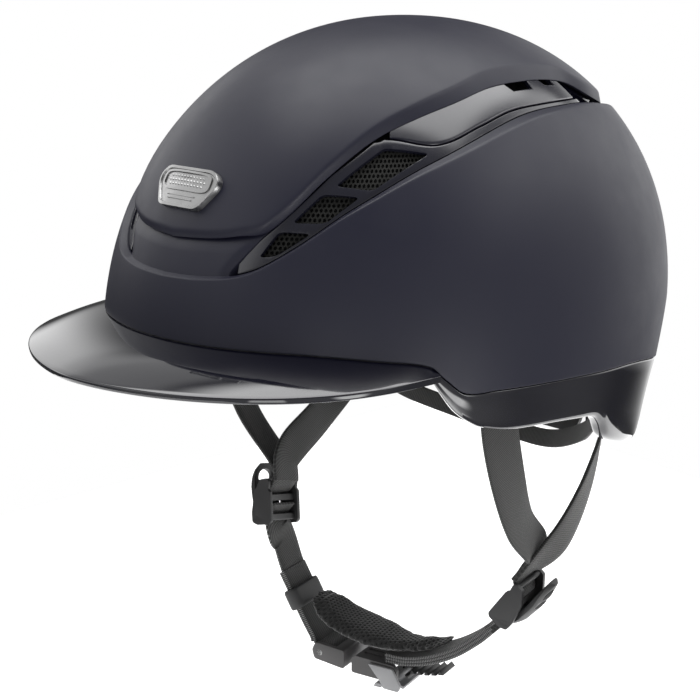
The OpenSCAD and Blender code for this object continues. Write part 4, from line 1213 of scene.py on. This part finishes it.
def displace(me, amount):
    """Moves each point along its normal by amount(points in millimetres, normals)."""
    n = len(me.vertices)
    co, no = np.empty(n * 3), np.empty(n * 3)
    me.vertices.foreach_get("co", co)
    me.vertices.foreach_get("normal", no)
    co, no = co.reshape(-1, 3) / MM, no.reshape(-1, 3)
    co = co + no * amount(co, no)[:, None]
    me.vertices.foreach_set("co", (co * MM).ravel())
    me.update()


def knit_material(name, base, light, pitch=2.3, depth=0.6, open_cells=True):
    """Spacer knit: rows of open cells in a soft, slightly fuzzy fabric. Its colour is painted darker in the
    open cells and lower fibres and lighter on the raised ones: painted shade and highlight over a random
    fibre tone.
    """
    n = Nodes(name)
    coord = n.object_coord(1000.0 / pitch)
    v = n.add("TexVoronoi", feature="F1", distance="EUCLIDEAN")
    v.inputs["Scale"].default_value = 1.0
    v.inputs["Randomness"].default_value = 0.25
    n.link(coord, v.inputs["Vector"])
    cell = n.ramp(v.outputs["Distance"], [(0.18, 0.0), (0.42, 1.0)])
    fine = n.noise(2200.0, 3.0, 0.6)
    base, light = np.array(base), np.array(light)
    # The colour follows the same cells and fuzz as the bump: painted shade in the open cells, painted
    # highlight on the raised fibres, partly a random fibre tone.
    height_shade = fine
    if open_cells:
        height_shade = n.math("MULTIPLY", n.grey(cell), n.math("ADD", n.math("MULTIPLY", fine, 0.6), 0.5))
    n.colour(n.ramp(height_shade, [(0.05, base * 0.25), (0.5, base), (0.95, light)]))
    height = n.math("ADD", n.math("MULTIPLY", n.grey(cell), 1.0 if open_cells else 0.0),
                    n.math("MULTIPLY", fine, 0.35))
    n.normal(n.bump(height, 0.8, depth * 0.0008))
    n.set(Roughness=0.85, Sheen_Weight=0.6, Sheen_Roughness=0.45)
    return n.mat


# The second colour of each knit is the painted highlight on its raised fibres.
KNIT = knit_material("spacer_knit", (0.024, 0.024, 0.024), (0.055, 0.055, 0.054), 0.9, 0.3, False)
COMFORT = knit_material("comfort_knit", (0.016, 0.016, 0.018), (0.045, 0.045, 0.048), 1.6, 0.35)

PAD_LINE = np.array([[-38.5, -142.4], [-30, -150.6], [-21, -155.6], [-8, -158.6], [6, -160], [18, -158.7],
                     [30, -154.6], [38.5, -149.8]])
pad_dense, pad_s = resample(catmull(PAD_LINE, 12), 0.8)


def pad_place(u, v, w):
    """u along the pad (0 at the far end, 1 at the near end), v across in mm, w inward from its line."""
    s = u * pad_s[-1]
    p = np.stack([np.interp(s, pad_s, pad_dense[:, k]) for k in (0, 1)], -1)
    q = np.stack([np.interp(s + 0.4, pad_s, pad_dense[:, k]) for k in (0, 1)], -1)
    r = np.stack([np.interp(s - 0.4, pad_s, pad_dense[:, k]) for k in (0, 1)], -1)
    d = q - r
    d /= np.linalg.norm(d, axis=-1, keepdims=True)
    inward = np.stack([-d[..., 1], d[..., 0]], -1)
    inward *= np.where(inward[..., 1:] > 0, 1, -1)
    sz = p + inward * np.asarray(w)[..., None]
    v = np.broadcast_to(v, sz[..., 0].shape)
    flat = np.column_stack([sz[..., 0].ravel(), v.ravel(), sz[..., 1].ravel()])
    return in_loop(flat).reshape(sz.shape[:-1] + (3,))


PAD_HALF = [(0, 6.0), (0.03, 9.8), (0.10, 13.2), (0.25, 15.4), (0.42, 15.6), (0.54, 14.6), (0.62, 12.2),
            (0.70, 10.2),
            (0.85, 9.6), (0.93, 9.2), (0.97, 7.8), (1.0, 4.6)]


def pad_half(u):
    p = np.array(PAD_HALF)
    return np.interp(u, p[:, 0], p[:, 1])


def chin_pad():
    n = 110
    u = np.linspace(0.0, 1.0, n)
    half = pad_half(u)
    half = np.convolve(np.pad(half, 4, mode="edge"), np.ones(9) / 9, mode="valid")
    thick = np.interp(u, [0, 0.03, 0.12, 0.5, 0.66, 0.85, 0.97, 1], [1.6, 3.2, 5.0, 5.2, 3.4, 2.4, 1.9, 1.2])
    k = 15
    y = np.linspace(-1, 1, k)
    crown = (1 - np.abs(y) ** 3.2)
    loops = []
    for ui, h, t in zip(u, half, thick):
        top = pad_place(np.full(k, ui), y * h, 1.3 + t * (0.35 + 0.65 * crown) - 0.9 + 0.5 * y**2)
        low = pad_place(np.full(k, ui), y[::-1] * h * 0.98, np.full(k, 0.5) + 0.5 * y[::-1] ** 2)
        loops.append(np.concatenate([top, low]))
    me = loft("chin_pad", np.stack(loops), sharp=60)
    me = swell("chin_pad", me, 1.7, 4.0, 1.3)
    return subdivided(temp("chin_pad_tmp", me))


pad = chin_pad()


def pad_cells(co, no):
    """Round open cells of the spacer knit in staggered rows that follow the pad's length."""
    d = co - np.array([0, LOOP_Y, 0])
    s = d[:, 0] * math.cos(TURN) + d[:, 1] * math.sin(TURN)
    y = -d[:, 0] * math.sin(TURN) + d[:, 1] * math.cos(TURN)
    near = ((s[:, None] - pad_dense[None, :, 0]) ** 2 + (co[:, 2:] - pad_dense[None, :, 1]) ** 2).argmin(1)
    a, b = pad_dense[np.maximum(near - 1, 0)], pad_dense[np.minimum(near + 1, len(pad_s) - 1)]
    u = (b - a) / np.linalg.norm(b - a, axis=1, keepdims=True)
    along_pad = pad_s[near] + (s - pad_dense[near, 0]) * u[:, 0] + (co[:, 2] - pad_dense[near, 1]) * u[:, 1]
    pitch = 2.3
    row = np.floor(along_pad / (pitch * HEX_ROW))
    sy = (y / pitch + 0.5 * np.mod(row, 2)) % 1.0 - 0.5
    ss = ((along_pad / (pitch * HEX_ROW)) % 1.0 - 0.5) * HEX_ROW
    r = np.hypot(sy, ss)
    return -0.7 * np.clip(1 - (r / 0.33) ** 2, 0, 1)


displace(pad, pad_cells)
place("chin_cushion", pad, KNIT, node="chin_pad")


def shell_pad(name, t0, t1, z0, z1, d, thick, crown=0.65, n=60, m=22):
    """Crowned pad on the liner between two angles and two heights, with round corners."""
    t = np.linspace(t0, t1, n)
    u = np.linspace(-1, 1, n)
    pull = (1 - np.abs(u) ** 5) ** 0.5 * 0.35 + 0.65
    loops = []
    v = np.linspace(-1, 1, m)
    for ti, ui, pi in zip(t, u, pull):
        zc, zh = (z0 + z1) / 2, (z1 - z0) / 2 * pi
        bulge = (1 - np.abs(v) ** 3) * (1 - abs(ui) ** 4)
        back = skin(ti, zc + v * zh, d)
        front = skin(ti, zc + v[::-1] * zh, d + 1.6 + (thick - 1.6) * (0.25 + crown * bulge[::-1]))
        loops.append(np.concatenate([back, front]))
    return loft(name, np.stack(loops), sharp=60)


def seams_at(angles, depth=1.3, width=1.1):
    def f(co, no):
        t = np.degrees(np.arctan2(co[:, 0], -co[:, 1]))
        r = np.hypot(co[:, 0], co[:, 1])
        out = np.zeros(len(co))
        for a in angles:
            out -= depth * np.exp(-(((t - a) * np.pi / 180 * r) / width) ** 2)
        return out
    return f


brow = swell("brow", shell_pad("brow", -42, 42, 6.5, 25.5, PAD_BACK, 6.0), 2.2, 4.0, 1.6)
displace(brow, seams_at((-28, -14, 0, 14, 28)))
place("brow_cushion", brow, COMFORT, node="brow_pad")
side = swell("side", shell_pad("side", 60, 108, 14.5, 41.5, PAD_BACK, 5.2), 2.2, 4.0, 1.5)
displace(side, seams_at((76, 92), 1.1, 1.0))
place("side_pad", side, COMFORT, node="side_pad_left")
place("side_pad_far", mirrored(side, "side_pad_far"), None, node="side_pad_right")


def crown_pad():
    t = np.linspace(0, 360, 72, endpoint=False)
    k = np.linspace(67, 89.5, 14)
    outer = [dome(t, p, CROWN_PAD_BACK) for p in k[::-1]]
    inner = [dome(t, p, CROWN_PAD_BACK + 1.4 + 4.0 * min(1, (p - 66) / 5) ** 0.6) for p in k]
    return capped("crown_pad", np.stack(outer + inner, 1), CROWN - CROWN_PAD_BACK, CROWN - CROWN_PAD_FACE, 60)


top_pad = swell("crown_pad", crown_pad(), 2.2, 4.0, 1.2)


def crown_seams(co, no):
    a = np.arctan2(co[:, 0], -co[:, 1])
    r = np.hypot(co[:, 0], co[:, 1])
    spokes = np.abs(((a / (math.pi / 3)) + 0.5) % 1.0 - 0.5) * (math.pi / 3) * np.maximum(r, 4)
    ring = np.abs(r - 13)
    return -1.1 * (np.exp(-(spokes / 1.1) ** 2) * (r > 13) + np.exp(-(ring / 1.1) ** 2)) * (no[:, 2] < 0.2)


displace(top_pad, crown_seams)
place("crown_cushion", top_pad, COMFORT, node="crown_pad")


def nape_pad():
    """Nape pad with a hole for the dial's screw."""
    a = np.linspace(0, 2 * math.pi, 72, endpoint=False)

    def outline(w, h):
        c, s = np.cos(a), np.sin(a)
        return np.sign(c) * np.abs(c) ** 0.55 * w, np.sign(s) * np.abs(s) ** 0.55 * h

    levels = [(HOLE_R, HOLE_R, 86.0), (22, 11, 86.0), (37.5, 15.8, 86.0), (38.4, 16.6, 84.6),
              (36.5, 15.2, 82.9), (30, 13.5, 82.2),
              (20, 11, 82.0), (10, 8, 82.3), (HOLE_R, HOLE_R, 83.6)]
    loops = []
    for w, h, y in levels:
        x, z = outline(w, h) if w > 8 else (np.cos(a) * w, np.sin(a) * h)
        loops.append(np.column_stack([x, np.full(72, y), z - 48.0]))
    return loft("nape_pad", np.stack(loops).transpose(1, 0, 2), ring=True, sharp=60)


nape = swell("nape_pad", nape_pad(), 1.8, 3.0, 0.9)
displace(nape, lambda co, no: -0.8 * (np.exp(-((np.abs(co[:, 0]) - 20) / 1.0) ** 2)) * (no[:, 1] < 0))
place("nape_cushion", nape, COMFORT, node="nape_pad")

# ---------------------------------------------------------------- liner
LINER_OUT, LINER_IN, LINER_BEND = 9.8, 27.8, 36  # depths of its two faces; height where it turns over
LINER_LOW = [[0, 5], [50, 5], [58, 1], [70, -5], [90, -8], [120, -14], [150, -20], [180, -22]]


def foam_material():
    n = Nodes("liner_foam")
    v = n.add("TexVoronoi", feature="F1")
    v.inputs["Scale"].default_value = 330.0
    n.link(n.object_coord(), v.inputs["Vector"])
    # The colour is darker along the bead boundaries, where the bump below sinks in: painted shade in those
    # grooves.
    n.colour(n.ramp(v.outputs["Distance"], [(0.1, (0.030, 0.030, 0.032)), (0.6, (0.012, 0.012, 0.013))]))
    n.normal(n.bump(v.outputs["Distance"], -0.5, 0.0004))
    n.set(Roughness=0.75)
    return n.mat


def liner():
    t = np.arange(0, 360, 2.5)
    low = curve(LINER_LOW, t)
    po, pi = climb(t, LINER_BEND), climb(t, LINER_BEND)
    outer = [skin(t, low, 5.8), skin(t, low + (24 - low) * 0.7, 5.8), skin(t, LINER_BEND, LINER_OUT)]
    outer += [dome(t, po + (90 - po) * k / 12, LINER_OUT) for k in range(1, 12)]
    inner = [dome(t, pi + (90 - pi) * k / 12, LINER_IN) for k in range(11, 0, -1)]
    inner += [skin(t, LINER_BEND, LINER_IN), skin(t, low + (24 - low) * 0.7, LINER_IN),
              skin(t, low + 1, LINER_IN)]
    first = rounded([(inner[-2], 0), (inner[-1], 2.5), (outer[0], 1.5), (outer[1], 0)], 4, closed=False)
    rows = np.concatenate([np.stack(inner[:-2], 1), first, np.stack(outer[2:], 1)], 1)
    return capped("liner", rows, CROWN - LINER_IN, CROWN - LINER_OUT, 50)


FOAM = foam_material()
place("liner", liner(), FOAM, node="impact_liner")

# ---------------------------------------------------------------- CAD parts that stay
for node, mat in (("nape_cradle", PLASTIC), ("cradle_cover", PLASTIC), ("cradle_hangers", PLASTIC),
                  ("adjuster_dial", RUBBER),
                  ("dial_screw", STEEL_MAT), ("band_left", PLASTIC), ("band_right",
                          PLASTIC), ("strap_anchors", STEEL_MAT),
                  ("divider_pin_left", PLASTIC), ("divider_pin_right", PLASTIC), ("buckle_pin", PLASTIC_GREY),
                  ("buckle_spring", STEEL_MAT), ("tongue_bar", STEEL_MAT)):
    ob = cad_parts[node]
    for i in range(len(ob.data.materials)):
        ob.data.materials[i] = mat
    if not ob.data.materials:
        ob.data.materials.append(mat)
# ---------------------------------------------------------------- stage and studio
floor = temp("floor", new_mesh("floor", [(-520, -520, -262), (200, -520, -262), (260, 500, -262),
                                         (-520, 600, -262)],
                               [(0, 1, 2, 3)], weld=0))
n = Nodes("floor")
n.colour(n.ramp(n.noise(2.0), [(0.3, 0.88), (0.7, 0.9)]))
n.set(Roughness=0.9, Specular_IOR_Level=0.0, Emission_Color=(1, 1, 1, 1), Emission_Strength=0.5)
floor.data.materials.append(n.mat)


class WorldNodes(Nodes):
    """The same short forms for the studio that the helmet reflects."""

    def __init__(self, world):
        world.use_nodes = True
        self.tree = world.node_tree
        self.background = self.tree.nodes["Background"]
        split = self.add("SeparateXYZ")
        self.link(self.add("TexCoord").outputs["Generated"], split.inputs[0])
        x, y, self.z = split.outputs
        ca, sa = math.cos(AZIMUTH), math.sin(AZIMUTH)
        self.u = self.math("ADD", self.math("MULTIPLY", x, ca), self.math("MULTIPLY", y, sa))
        self.w = self.math("SUBTRACT", self.math("MULTIPLY", x, sa), self.math("MULTIPLY", y, ca))

    def rise(self, value, a, b):
        m = self.add("MapRange", clamp=True)
        m.interpolation_type = "SMOOTHSTEP"
        m.inputs["From Min"].default_value, m.inputs["From Max"].default_value = a, b
        self.link(value, m.inputs["Value"])
        return m.outputs["Result"]

    def panel(self, u, w, z, level, soft=0.03):
        """Lit rectangle between limits on each axis: u right, w toward the camera, z up."""
        out = None
        for value, (lo, hi) in ((self.u, u), (self.w, w), (self.z, z)):
            for a, b in ((lo - soft, lo + soft), (hi + soft, hi - soft)):
                if abs(a) > 1.2:
                    continue
                s = self.rise(value, a, b) if a < b else self.math("SUBTRACT", 1.0, self.rise(value, b, a))
                out = s if out is None else self.math("MULTIPLY", out, s)
        return self.math("MULTIPLY", out, level)


world = bpy.data.worlds.new("studio")
bpy.context.scene.world = world
s = WorldNodes(world)
ALL = (-2, 2)
light = [s.panel((-2, -0.27), (-2, -0.35), (0.06, 0.50), 1.2, 0.09),
         s.panel((0.24, 2), (-2, -0.2), (-0.30, 0.42), 1.0, 0.08),
         s.panel((-0.45, 0.62), (-0.58, 0.15), (0.66, 2), 3.2, 0.04),
         s.panel((-2, -0.55), (-0.6, 0.6), (0.28, 0.78), 0.8, 0.08),
         s.panel((0.58, 0.88), (-0.6, 0.3), (0.08, 0.66), 1.5, 0.04),
         s.panel((-0.16, 0.14), (0.5, 2), (-0.6, -0.08), 2.6, 0.02),
         s.panel((0.58, 0.80), (0.48, 0.8), (-0.55, -0.15), 4.5, 0.05),
         s.panel((-2, -0.1), (-2, -0.6), (0.5, 0.76), 0.5, 0.05),
         s.panel((0.74, 0.88), (-0.2, 0.3), (0.3, 0.66), 1.5, 0.04),
         s.panel(ALL, (0.3, 2), (-0.7, 0.4), 0.26, 0.2),
         s.panel(ALL, (-0.3, 2), ALL, 0.14, 0.2)]
total = 0.06
for part in light:
    total = s.math("ADD", part, total)
seen = s.add("LightPath").outputs["Is Camera Ray"]
strength = s.math("ADD", s.math("MULTIPLY", total, s.math("SUBTRACT", 1.0, seen)), seen)
s.background.inputs["Color"].default_value = (1, 1, 1, 1)
s.link(strength, s.background.inputs["Strength"])
bpy.context.scene.view_settings.view_transform = "Standard"
